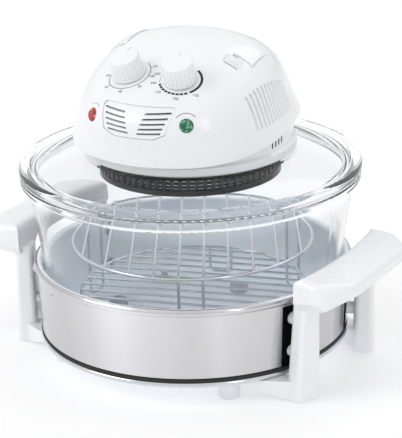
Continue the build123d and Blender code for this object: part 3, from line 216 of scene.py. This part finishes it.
def polishedBand():
    # thin sheet, polished lengthwise: very fine level lines, and painted reflection in the colour: slow grey
    # zones (the slow unevenness in the reflection) and a grey that changes from left to right
    s = Surface("polishedSteel", {"Specular IOR Level": 0.5})
    lines = s.noise(sheetLook["lineScale"], sheetLook["lineDetail"], sheetLook["lineStretch"])
    slow = s.noise(sheetLook["slowScale"], 1.0, sheetLook["slowStretch"])
    paintedReflectionZones = s.node("ValToRGB", {"stops": sheetLook["paintedReflectionZones"]}, {"Fac": slow})
    paintedReflectionGreys = [(place, shade(level, level, level)) for place, level in sheetLook["across"]]
    side = s.node("SeparateXYZ", None, {"Vector": s.place()})
    paintedReflectionGreys = s.node("ValToRGB", {"stops": paintedReflectionGreys}, {"Fac": 0.5 + side * (1 / sheetLook["width"])})
    paintedReflectionZones = s.vector("MULTIPLY", paintedReflectionZones, paintedReflectionGreys)
    inner = s.blend(lines, *sheetLook["inner"])
    # the polish is on the outer face alone: where the face looks away from the bowl's axis
    radial = s.vector("MULTIPLY", s.place(), (1.0, 1.0, 0.0))
    facing = s.vector("DOT_PRODUCT", s.node("TexCoord", out=1), s.vector("NORMALIZE", radial), out=1)
    outside = s.node("Math", {"operation": "GREATER_THAN"}, {0: facing, 1: sheetLook["facing"]})
    s.wear("Base Color", s.blend(outside, inner, paintedReflectionZones))
    # painted light: the inner face glows pale blue; the outer face does not glow
    s.wear("Emission Color", s.blend(outside, sheetLook["glow"], shade(0, 0, 0)))
    s.shader.inputs["Emission Strength"].default_value = sheetLook["innerPaintedGlow"]
    s.wear("Metallic", sheetLook["innerMetal"] + (1 - sheetLook["innerMetal"]) * outside)
    rough = sheetLook["innerRough"] + sheetLook["roughStep"] * outside
    s.wear("Roughness", rough + sheetLook["lineSpread"] * lines)
    s.bump(lines * sheetLook["lineShare"] + slow, sheetLook["wave"], sheetLook["waveDistance"])
    return s.material


metalLook = {"grain": 300.0, "spread": 0.08, "depth": 0.05, "patch": 30.0, "dull": 0.82}


def metal(name, colour, rough):
    s = Surface(name, {"Metallic": 1.0})
    spots = s.noise(metalLook["grain"])
    dull = shade(*(c * metalLook["dull"] for c in colour))
    s.wear("Base Color", s.blend(s.noise(metalLook["patch"]), dull, shade(*colour)))
    s.wear("Roughness", rough + metalLook["spread"] * spots)
    s.bump(spots, metalLook["depth"], 0.0002)
    return s.material


glassLook = {
    "clear": (0.93, 0.943, 0.952), "index": 1.22,
    "quartz": (0.97, 0.97, 0.97), "quartzIndex": 1.46, "quartzRough": 0.02,
    "waveScale": 11.0, "waveRough": 0.012, "waveDepth": 0.02, "shadowTint": 0.06,
}
# the thick rims: from where up and out they lose the tint, turn white and take a faint glow, a painted
# highlight on the glass
paintedRimHighlight = {
    "low": 0.155, "full": 0.168, "inner": 0.147, "outer": 0.153, "glow": (0.93, 0.96, 1.0), "strength": 0.07,
}


def clearGlass(name, tint, index, rough=0.0, rim=None):
    # light passes straight through where a shadow would fall, so the food space stays bright
    s = Surface(name, {"Transmission Weight": 1.0, "IOR": index, "Specular IOR Level": 0.5})
    waves = s.noise(glassLook["waveScale"], 1.0)
    if rim:
        # painted highlight: in the rim zone the colour goes white and the glass glows
        height = s.node("SeparateXYZ", None, {"Vector": s.place()}, out=2)
        reach = s.vector("LENGTH", s.vector("MULTIPLY", s.place(), (1.0, 1.0, 0.0)), out=1)
        soft = {"interpolation_type": "SMOOTHSTEP"}
        paintedHighlightMask = s.node("MapRange", soft, {0: height, 1: rim["low"], 2: rim["full"]})
        paintedHighlightMask = paintedHighlightMask * s.node("MapRange", soft, {0: reach, 1: rim["inner"], 2: rim["outer"]})
        s.wear("Base Color", s.blend(paintedHighlightMask, shade(*tint), shade(1, 1, 1)))
        s.wear("Emission Color", s.blend(paintedHighlightMask, shade(0, 0, 0), shade(*rim["glow"])))
        s.shader.inputs["Emission Strength"].default_value = rim["strength"]
    else:
        s.wear("Base Color", shade(*tint))
    s.wear("Roughness", rough + glassLook["waveRough"] * waves)
    s.bump(waves, glassLook["waveDepth"], 0.002)
    share = glassLook["shadowTint"]
    through = s.node("BsdfTransparent", None, {"Color": shade(*(1 - share + share * t for t in tint))})
    shadow = s.node("LightPath", out=1)
    mixed = s.node("MixShader", None, {0: shadow, 1: Socket(s, s.shader.outputs[0]), 2: through})
    s.feed(s.tree.nodes["Material Output"].inputs["Surface"], mixed)
    return s.material


jewelLook = {
    "body": {"Transmission Weight": 0.35, "IOR": 1.5, "Coat Weight": 0.6, "Coat Roughness": 0.02},
    # how far the facet centres are lightened into a painted glint, and how far their edges are darkened into a
    # painted dark reflection
    "cells": 330.0, "paintedGlint": 0.55, "dark": 0.3,
}


def jewel(name, colour, glow):
    s = Surface(name, jewelLook["body"])
    # painted glints and dark reflections: each facet cell goes from a pale centre through the lens colour to a
    # dark edge
    cells = s.node("TexVoronoi", {"feature": "F1"}, {"Vector": s.place(), "Scale": jewelLook["cells"]})
    paintedGlint = shade(*(1 - jewelLook["paintedGlint"] + jewelLook["paintedGlint"] * c for c in colour))
    dark = shade(*(c * jewelLook["dark"] for c in colour))
    stops = ((0.12, paintedGlint), (0.34, shade(*colour)), (0.62, dark))
    paintedFacetLight = s.node("ValToRGB", {"stops": stops}, {"Fac": cells})
    s.wear("Base Color", paintedFacetLight)
    s.wear("Roughness", 0.05 + 0.1 * cells)
    s.wear("Emission Color", paintedFacetLight)
    s.shader.inputs["Emission Strength"].default_value = glow
    return s.material


softLook = {"detail": 4.0, "dull": 0.75, "spread": 0.12}


def softMatter(name, colour, rough, grain, depth, shine=0.4):
    # rubber, ceramic, board, enamel, ink: dull with a fine grain
    s = Surface(name, {"Specular IOR Level": shine})
    grains = s.noise(grain, softLook["detail"])
    dull = shade(*(c * softLook["dull"] for c in colour))
    s.wear("Base Color", s.blend(grains, dull, shade(*colour)))
    s.wear("Roughness", rough + softLook["spread"] * grains)
    s.bump(grains, depth, 0.0004)
    return s.material


finishes = {
    "polished_steel": polishedBand(),
    "chrome_wire": metal("chromeWire", (0.75, 0.775, 0.81), 0.10),
    "black_rubber": softMatter("blackRubber", (0.025, 0.025, 0.025), 0.6, 500.0, 0.3),
    "zinc_steel": metal("zincSteel", (0.60, 0.60, 0.58), 0.32),
    "white_plastic": mouldedPlastic("whitePlastic", (0.86, 0.875, 0.90), whiteLook),
    "clear_glass": clearGlass("clearGlass", glassLook["clear"], glassLook["index"], rim=paintedRimHighlight),
    "white_silicone": softMatter("whiteSilicone", (0.72, 0.72, 0.70), 0.5, 400.0, 0.15),
    "black_enamel": softMatter("blackEnamel", (0.012, 0.012, 0.013), 0.24, 260.0, 0.05, 0.25),
    "bright_aluminium": metal("brightAluminium", (0.82, 0.82, 0.82), 0.24),
    "mineral_board": softMatter("mineralBoard", (0.55, 0.52, 0.46), 0.85, 180.0, 0.6),
    "quartz_glass": clearGlass(
        "quartzGlass", glassLook["quartz"], glassLook["quartzIndex"], glassLook["quartzRough"]
    ),
    "tungsten": metal("tungstenCoil", (0.30, 0.30, 0.31), 0.45),
    "white_ceramic": softMatter("whiteCeramic", (0.78, 0.77, 0.73), 0.45, 320.0, 0.2),
    "brass_nut": metal("turnedBrass", (0.72, 0.55, 0.28), 0.25),
    "dark_plastic": mouldedPlastic("darkPlastic", (0.03, 0.03, 0.033), darkLook),
    "red_lens": jewel("redLens", (0.80, 0.03, 0.015), 0.15),
    "green_lens": jewel("greenLens", (0.02, 0.42, 0.20), 0.08),
}
feetPlastic = mouldedPlastic("feetPlastic", (0.80, 0.82, 0.86), feetLook)
padRubber = softMatter("padRubber", (0.55, 0.585, 0.63), 0.5, 400.0, 0.1)
# deepBlack fills only the pieces that paint shade: the skirt liner, the collar slot shadows, the slot shadow
# and the dark strips beside the posts
deepBlack = softMatter("deepBlack", (0.004, 0.004, 0.004), 0.85, 300.0, 0.1, 0.05)
printInk = softMatter("printInk", (0.012, 0.012, 0.014), 0.45, 700.0, 0.05)
greyInk = softMatter("greyInk", (0.10, 0.10, 0.11), 0.45, 700.0, 0.05)


def coat(thing, material):
    if not thing.material_slots:
        thing.data.materials.append(material)
    for place in thing.material_slots:
        place.material = material


for row in frame["record"]["subparts"]:
    if row["node"] in nodes:
        coat(nodes[row["node"]], finishes[row["material_slot"]])
for name in ("foot_back_right", "foot_back_left", "foot_front_left", "foot_front_right"):
    coat(nodes[name], feetPlastic)
coat(nodes["bowl_pads"], padRubber)
print("materials made and given out")

lidTurn = Matrix.Rotation(math.radians(4.0), 4, "Z")  # the lid sits a little round from square
shellMesh = nodes["head_shell"].data
shellTree = BVHTree.FromPolygons([v.co for v in shellMesh.vertices], [p.vertices for p in shellMesh.polygons])


def addPiece(name, body, verts, faces, material, smooth=True):
    mesh = bpy.data.meshes.new(name)
    mesh.from_pydata([tuple(v) for v in verts], [], faces)
    mesh.validate()
    work = bmesh.new()
    work.from_mesh(mesh)
    bmesh.ops.recalc_face_normals(work, faces=work.faces)
    work.to_mesh(mesh)
    work.free()
    for face in mesh.polygons:
        face.use_smooth = smooth
    mesh.materials.append(material)
    thing = bpy.data.objects.new(name, mesh)
    scene.collection.objects.link(thing)
    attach(thing, body)
    return thing


def surfacePlane(x, y, z, tilt, splay, side):
    # a flat work plane on the head: across, up the slope, and out
    t, s = math.radians(tilt), math.radians(splay)
    out = Vector((side * math.sin(t) * math.sin(s), -math.sin(t) * math.cos(s), math.cos(t)))
    across = Vector((math.cos(s), side * math.sin(s), 0))
    axes = Matrix((across, out.cross(across), out)).transposed().to_4x4()
    return lidTurn @ Matrix.Translation(Vector((side * x, y, z)) / 1000) @ axes


dropForm = {"start": 0.02, "reach": 0.06}  # metres over the plane, and down from there
# strips and numbers stand this proud of the shell, and numbers are this thick, in mm;
# arcStep is the degrees from one point of an arc to the next
inkForm = {"strip": 0.09, "number": 0.05, "thick": 0.06, "curveSteps": 3, "arcStep": 4}


def dropOnShell(plane, u, v, proud):
    # the point of the shell under (u, v) of a plane, lifted a little along the plane's normal
    start = plane @ Vector((u / 1000, v / 1000, dropForm["start"]))
    down = -(plane.to_3x3() @ Vector((0, 0, 1)))
    spot = shellTree.ray_cast(start, down, dropForm["reach"])[0]
    if spot is None:
        spot = plane @ Vector((u / 1000, v / 1000, 0))
    return spot - down * proud / 1000


def printStrips(name, plane, strips, material):
    # thin raised ink: each strip is a list of (left, right) pairs in mm on the plane
    verts, faces = [], []
    for strip in strips:
        first = len(verts)
        for pair in strip:
            for lift in (inkForm["strip"], 0.0):
                verts += [dropOnShell(plane, u, v, lift) for u, v in pair]
        for n in range(len(strip) - 1):
            a, b = first + 4 * n, first + 4 * n + 4
            faces += [(a, a + 1, b + 1, b), (a + 2, b + 2, b + 3, a + 3)]
            faces += [(a, b, b + 2, a + 2), (a + 1, a + 3, b + 3, b + 1)]
        last = first + 4 * (len(strip) - 1)
        faces += [(first, first + 2, first + 3, first + 1), (last, last + 1, last + 3, last + 2)]
    addPiece(name, "lid", verts, faces, material, smooth=False)


def arcStrip(radius, width, start, end):
    steps = max(2, int(abs(end - start) / inkForm["arcStep"]))
    strip = []
    for n in range(steps + 1):
        a = math.radians(start + (end - start) * n / steps)
        c, s = math.cos(a), math.sin(a)
        strip.append([(r * c, r * s) for r in (radius - width / 2, radius + width / 2)])
    return strip


def tick(radius, length, width, angle):
    a = math.radians(angle)
    c, s = math.cos(a), math.sin(a)
    ends = []
    for r in (radius, radius + length):
        ends.append([(r * c - half * s, r * s + half * c) for half in (-width / 2, width / 2)])
    return ends


def printNumber(name, plane, text, u, v, size, material):
    curve = bpy.data.curves.new(name, "FONT")
    curve.body = text
    curve.size = size / 1000
    curve.align_x, curve.align_y = "CENTER", "CENTER"
    curve.resolution_u = inkForm["curveSteps"]
    curve.extrude = inkForm["thick"] / 1000
    ghost = bpy.data.objects.new(name, curve)
    scene.collection.objects.link(ghost)
    mesh = bpy.data.meshes.new_from_object(ghost)
    bpy.data.objects.remove(ghost)
    for vertex in mesh.vertices:
        x, y, z = vertex.co
        vertex.co = dropOnShell(plane, u + x * 1000, v + y * 1000, inkForm["number"] + z * 1000)
    mesh.materials.clear()
    mesh.materials.append(material)
    thing = bpy.data.objects.new(name, mesh)
    scene.collection.objects.link(thing)
    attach(thing, "lid")


def printNumbers(prefix, plane, scale, material):
    for label, angle in scale["numbers"]:
        a, r = math.radians(angle), scale["labelRadius"]
        printNumber(prefix + label, plane, label, r * math.cos(a), r * math.sin(a), scale["size"], material)


dialSpot = {"x": 25.7, "y": -64.5, "z": 283.3, "tilt": 24.5, "splay": 9.0}
timerPlane = surfacePlane(**dialSpot, side=-1)
thermostatPlane = surfacePlane(**dialSpot, side=1)

timerScale = {
    "radius": 19.9, "line": 0.6, "start": -170, "end": 62, "tickLength": 1.8, "tickWidth": 0.5,
    "labelRadius": 24.0, "size": 4.2,
    "numbers": (("60", -172), ("50", -127), ("40", -78), ("30", -34), ("20", 6), ("10", 40)),
}
strips = [arcStrip(timerScale["radius"], timerScale["line"], timerScale["start"], timerScale["end"])]
for label, angle in timerScale["numbers"]:
    strips.append(tick(timerScale["radius"], timerScale["tickLength"], timerScale["tickWidth"], angle))
printStrips("timerScale", timerPlane, strips, greyInk)
printNumbers("timerNumber", timerPlane, timerScale, greyInk)

heatScale = {
    "radius": 18.9, "band": 2.2, "solidStart": -50, "solidEnd": 50,
    "dashStart": -158, "dashEnd": -54, "dashes": 9, "dashShare": 0.78,
    "thinStart": 150, "thins": 5, "thinPitch": 9.5, "thinLength": 5.5, "thinLine": 0.4,
    "labelRadius": 24.4, "size": 3.9,
    "numbers": (("250", 141), ("225", 165), ("200", -165), ("175", -131), ("150", -86), ("125", -42)),
}
strips = [arcStrip(heatScale["radius"], heatScale["band"], heatScale["solidStart"], heatScale["solidEnd"])]
dashPitch = (heatScale["dashEnd"] - heatScale["dashStart"]) / heatScale["dashes"]
for n in range(heatScale["dashes"]):
    start = heatScale["dashStart"] + n * dashPitch
    end = start + dashPitch * heatScale["dashShare"]
    strips.append(arcStrip(heatScale["radius"], heatScale["band"], start, end))
for n in range(heatScale["thins"]):
    start = heatScale["thinStart"] + n * heatScale["thinPitch"]
    strips.append(arcStrip(heatScale["radius"], heatScale["thinLine"], start, start + heatScale["thinLength"]))
printStrips("heatScale", thermostatPlane, strips, printInk)
printNumbers("heatNumber", thermostatPlane, heatScale, printInk)
print("dial prints laid on the panel")

lampSpot = {"x": 47.3, "y": -97.5, "z": 252.5, "tilt": 68.0, "splay": 30.0}
lampArcs = {"power": (10.6, 0.35, 50, 128), "heat": (11.2, 0.5, 42, 140)}  # radius, line, start and end degrees
# radius and height of each ring of corners; the facets start at the ring numbered wall
jewelForm = {
    "sides": 10, "wall": 2,
    "rings": ((5.9, -9.8), (6.15, -9.2), (6.15, 0.0), (4.7, 1.35), (2.6, 1.9), (0.9, 2.0)),
}


def ringJewel(name, side, slot, node):
    # a faceted lens in place of a plain one
    plane = surfacePlane(**lampSpot, side=side)
    sides = jewelForm["sides"]
    verts, faces = [], []
    for level, (radius, height) in enumerate(jewelForm["rings"]):
        for n in range(sides):
            a = 2 * math.pi * (n + (0.5 if level > jewelForm["wall"] and level % 2 else 0)) / sides
            verts.append(plane @ (Vector((radius * math.cos(a), radius * math.sin(a), height)) / 1000))
    for level in range(len(jewelForm["rings"]) - 1):
        for n in range(sides):
            a, b = level * sides + n, level * sides + (n + 1) % sides
            if level < jewelForm["wall"]:
                faces.append((a, b, b + sides, a + sides))
            else:
                faces += [(a, b, a + sides), (b, b + sides, a + sides)]
    faces.append(tuple(range(sides))[::-1])
    faces.append(tuple(range(len(verts) - sides, len(verts))))
    thing = addPiece(name, "lid", verts, faces, finishes[slot], smooth=False)
    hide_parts(node)
    return plane


redPlane = ringJewel("powerJewel", -1, "red_lens", "power_lens")
greenPlane = ringJewel("heatJewel", 1, "green_lens", "heat_lens")
printStrips("powerArc", redPlane, [arcStrip(*lampArcs["power"])], greyInk)
printStrips("heatArc", greenPlane, [arcStrip(*lampArcs["heat"])], printInk)
print("signal lamps set")


def sweepRing(name, body, profile, material, steps, start=0.0, end=360.0):
    # a closed profile of (radius, height) in mm, carried round the bowl's axis from start to end degrees
    whole = end - start >= 360
    rows = steps if whole else steps + 1
    verts, faces, count = [], [], len(profile)
    for n in range(rows):
        a = math.radians(start + (end - start) * n / steps)
        verts += [(r * math.sin(a) / 1000, -r * math.cos(a) / 1000, z / 1000) for r, z in profile]
    for n in range(steps):
        here, there = n * count, ((n + 1) % rows) * count
        for k in range(count):
            m = (k + 1) % count
            faces.append((here + k, here + m, there + m, there + k))
    if not whole:
        faces += [tuple(range(count)), tuple(range(len(verts) - count, len(verts)))[::-1]]
    addPiece(name, body, verts, faces, material)


def wireProfile(radius, height, wire, sides):
    turns = [2 * math.pi * n / sides for n in range(sides)]
    return [(radius + wire * math.cos(a), height + wire * math.sin(a)) for a in turns]


# painted shade: a black liner behind the skirt's slots stands in for their dark back, and the wires that show
# in them
skirtCage = {
    "linerRadius": 79.4, "linerWall": 0.5, "linerLow": 1.3, "linerHigh": 2.5, "linerSteps": 144,
    "wireRadius": 81.9, "wire": 0.5, "wireSides": 8, "wireSteps": 180, "heights": (7.0, 10.5, 14.0),
}
skirtLow, skirtHigh = (corner.z * 1000 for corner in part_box("fan_skirt"))
linerIn, linerOut = skirtCage["linerRadius"], skirtCage["linerRadius"] + skirtCage["linerWall"]
linerLow, linerHigh = skirtLow + skirtCage["linerLow"], skirtHigh - skirtCage["linerHigh"]
linerShape = [(linerIn, linerLow), (linerOut, linerLow), (linerOut, linerHigh), (linerIn, linerHigh)]
sweepRing("skirtShadeLiner", "lid", linerShape, deepBlack, skirtCage["linerSteps"])
for n, height in enumerate(skirtCage["heights"]):
    profile = wireProfile(skirtCage["wireRadius"], skirtLow + height, skirtCage["wire"], skirtCage["wireSides"])
    sweepRing(f"cageWire{n}", "lid", profile, finishes["chrome_wire"], skirtCage["wireSteps"])

# the dark in the four slots at each side of the collar
sideSlots = {
    "angle": 8.0, "pitch": 3.0, "count": 4, "half": 0.95, "height": 8.0, "drop": 1.5,
    "outer": 96.75, "inner": 94.6, "clear": 0.05, "seam": 227.0, "slope": 0.129, "radius": 97.0,
}
blockFaces = ((0, 1, 3, 2), (4, 6, 7, 5), (0, 4, 5, 1), (2, 3, 7, 6), (0, 2, 6, 4), (1, 5, 7, 3))
verts, faces = [], []
for side in (-1, 1):
    for n in range(sideSlots["count"]):
        turn = math.radians(-sideSlots["angle"] + (n - (sideSlots["count"] - 1) / 2) * sideSlots["pitch"])
        out = Vector((side * math.cos(turn), math.sin(turn), 0))
        along = Vector((0, 0, 1)).cross(out)
        seam = sideSlots["seam"] + sideSlots["slope"] * sideSlots["radius"] * math.sin(turn)
        top = seam - sideSlots["drop"] - sideSlots["clear"]
        bottom = top - sideSlots["height"] + 2 * sideSlots["clear"]
        first = len(verts)
        for reach in (sideSlots["inner"], sideSlots["outer"]):
            for z in (bottom, top):
                for half in (-sideSlots["half"], sideSlots["half"]):
                    verts.append(lidTurn @ ((out * reach + along * half + Vector((0, 0, z))) / 1000))
        faces += [tuple(first + k for k in quad) for quad in blockFaces]
addPiece("collarSlotShadows", "lid", verts, faces, deepBlack, smooth=False)

# the shadow in the finger slot ahead of the lock button
slotShadow = {
    "x": 58.0, "half": 6.3, "front": -30.1, "back": -28.65, "drop": 0.15, "deep": 3.0, "steps": 8,
    "ahead": -31.2, "above": 340, "reach": 0.1,  # where the shell's skin is felt for; the reach is in metres
}
verts, faces = [], []
for n in range(slotShadow["steps"] + 1):
    x = slotShadow["x"] + slotShadow["half"] * (2 * n / slotShadow["steps"] - 1)
    above = lidTurn @ (Vector((x, slotShadow["ahead"], slotShadow["above"])) / 1000)
    found = shellTree.ray_cast(above, Vector((0, 0, -1)), slotShadow["reach"])[0]
    skin = found.z * 1000 - slotShadow["drop"]
    for y in (slotShadow["front"], slotShadow["back"]):
        verts += [lidTurn @ (Vector((x, y, z)) / 1000) for z in (skin, skin - slotShadow["deep"])]
for n in range(slotShadow["steps"]):
    a, b = 4 * n, 4 * n + 4
    faces += [(a, a + 2, b + 2, b), (a + 1, b + 1, b + 3, a + 3)]
    faces += [(a, b, b + 1, a + 1), (a + 2, a + 3, b + 3, b + 2)]
faces += [(0, 1, 3, 2), (b, b + 2, b + 3, b + 1)]
addPiece("slotShadow", "lid", verts, faces, deepBlack, smooth=False)

# painted dark reflection: dark strips on the band beside the posts stand in for the posts' dark reflection; the
# spans are degrees round from the front
paintedReflectionStrip = {
    "low": 0.2, "high": 86.5, "proud": 0.35, "sunk": 0.2, "steps": 6,
    "spans": ((63.2, 67.5), (104.8, 107.4)),
}
bandForm = {"lowRadius": 147.0, "highRadius": 150.0, "high": 90.0}
stripLow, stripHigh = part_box("band_gasket")[1].z * 1000 + paintedReflectionStrip["low"], paintedReflectionStrip["high"]


def bandRadius(z):
    share = (z - stripLow) / (bandForm["high"] - stripLow)
    return bandForm["lowRadius"] + (bandForm["highRadius"] - bandForm["lowRadius"]) * share


footRadius, topRadius = bandRadius(stripLow), bandRadius(stripHigh)
stripShape = [
    (footRadius - paintedReflectionStrip["sunk"], stripLow), (footRadius + paintedReflectionStrip["proud"], stripLow),
    (topRadius + paintedReflectionStrip["proud"], stripHigh), (topRadius - paintedReflectionStrip["sunk"], stripHigh),
]
for n, (start, end) in enumerate(paintedReflectionStrip["spans"]):
    for side, (a, b) in (("Right", (start, end)), ("Left", (-end, -start))):
        name = f"paintedReflectionStrip{side}{n}"
        sweepRing(name, "base", stripShape, deepBlack, paintedReflectionStrip["steps"], a, b)
# the heat strips named below are these painted dark reflections, and the liners paint shade
print("liners, slot shadows and heat strips set")

stageLook = {
    "floorSize": 9.0, "floorDrop": 0.0004, "floorColour": (0.66, 0.66, 0.665), "floorGlow": 0.34,
    "worldPower": 0.90,
    # radiance of the tent from the floor line up to overhead
    "tent": ((0.0, 0.85), (0.05, 0.45), (0.12, 0.82), (0.42, 0.97), (1.0, 1.0)),
    "tentLean": 0.16,  # how much the left side is lighter than the right
    "lights": (  # place, aim, width, height, power, in metres and watts
        ((-1.5, -1.7, 1.9), (0, 0, 0.15), 1.5, 1.5, 17.0),
        ((0.3, 1.6, 2.1), (0, 0, 0.2), 1.5, 1.5, 6.0),
        ((1.75, -1.0, 1.1), (0.02, -0.05, 0.25), 0.30, 1.3, 2.4),
    ),
}


def buildStage(look):
    half, low = look["floorSize"] / 2, -look["floorDrop"]
    mesh = bpy.data.meshes.new("floor")
    corners = [(-half, -half, low), (half, -half, low), (half, half, low), (-half, half, low)]
    mesh.from_pydata(corners, [], [(0, 1, 2, 3)])
    floor = bpy.data.objects.new("floor", mesh)
    scene.collection.objects.link(floor)
    glow = {"Emission Color": shade(1, 1, 1), "Emission Strength": look["floorGlow"]}
    s = Surface("paperFloor", {"Roughness": 0.9, "Specular IOR Level": 0.1, **glow})
    s.wear("Base Color", shade(*look["floorColour"]))
    mesh.materials.append(s.material)
    world = bpy.data.worlds.new("studio")
    scene.world = world
    world.use_nodes = True
    tent = Tent(world)
    tent.shader.inputs["Strength"].default_value = look["worldPower"]
    spread = tent.node("SeparateXYZ", None, {"Vector": tent.node("TexCoord")})
    across, up = spread, Socket(tent, spread.link.node.outputs[2])
    stops = [(place, shade(level, level, level)) for place, level in look["tent"]]
    level = tent.node("ValToRGB", {"stops": stops}, {"Fac": up - look["tentLean"] * across})
    tent.feed(tent.shader.inputs["Color"], level)
    for n, (place, aim, width, height, power) in enumerate(look["lights"]):
        lamp = bpy.data.lights.new(f"softBox{n}", "AREA")
        lamp.shape, lamp.size, lamp.size_y, lamp.energy = "ELLIPSE", width, height, power
        holder = bpy.data.objects.new(f"softBox{n}", lamp)
        scene.collection.objects.link(holder)
        holder.location = place
        holder.rotation_euler = (Vector(aim) - Vector(place)).to_track_quat("-Z", "Y").to_euler()
    scene.view_settings.view_transform = "Standard"


buildStage(stageLook)
print("stage lit")
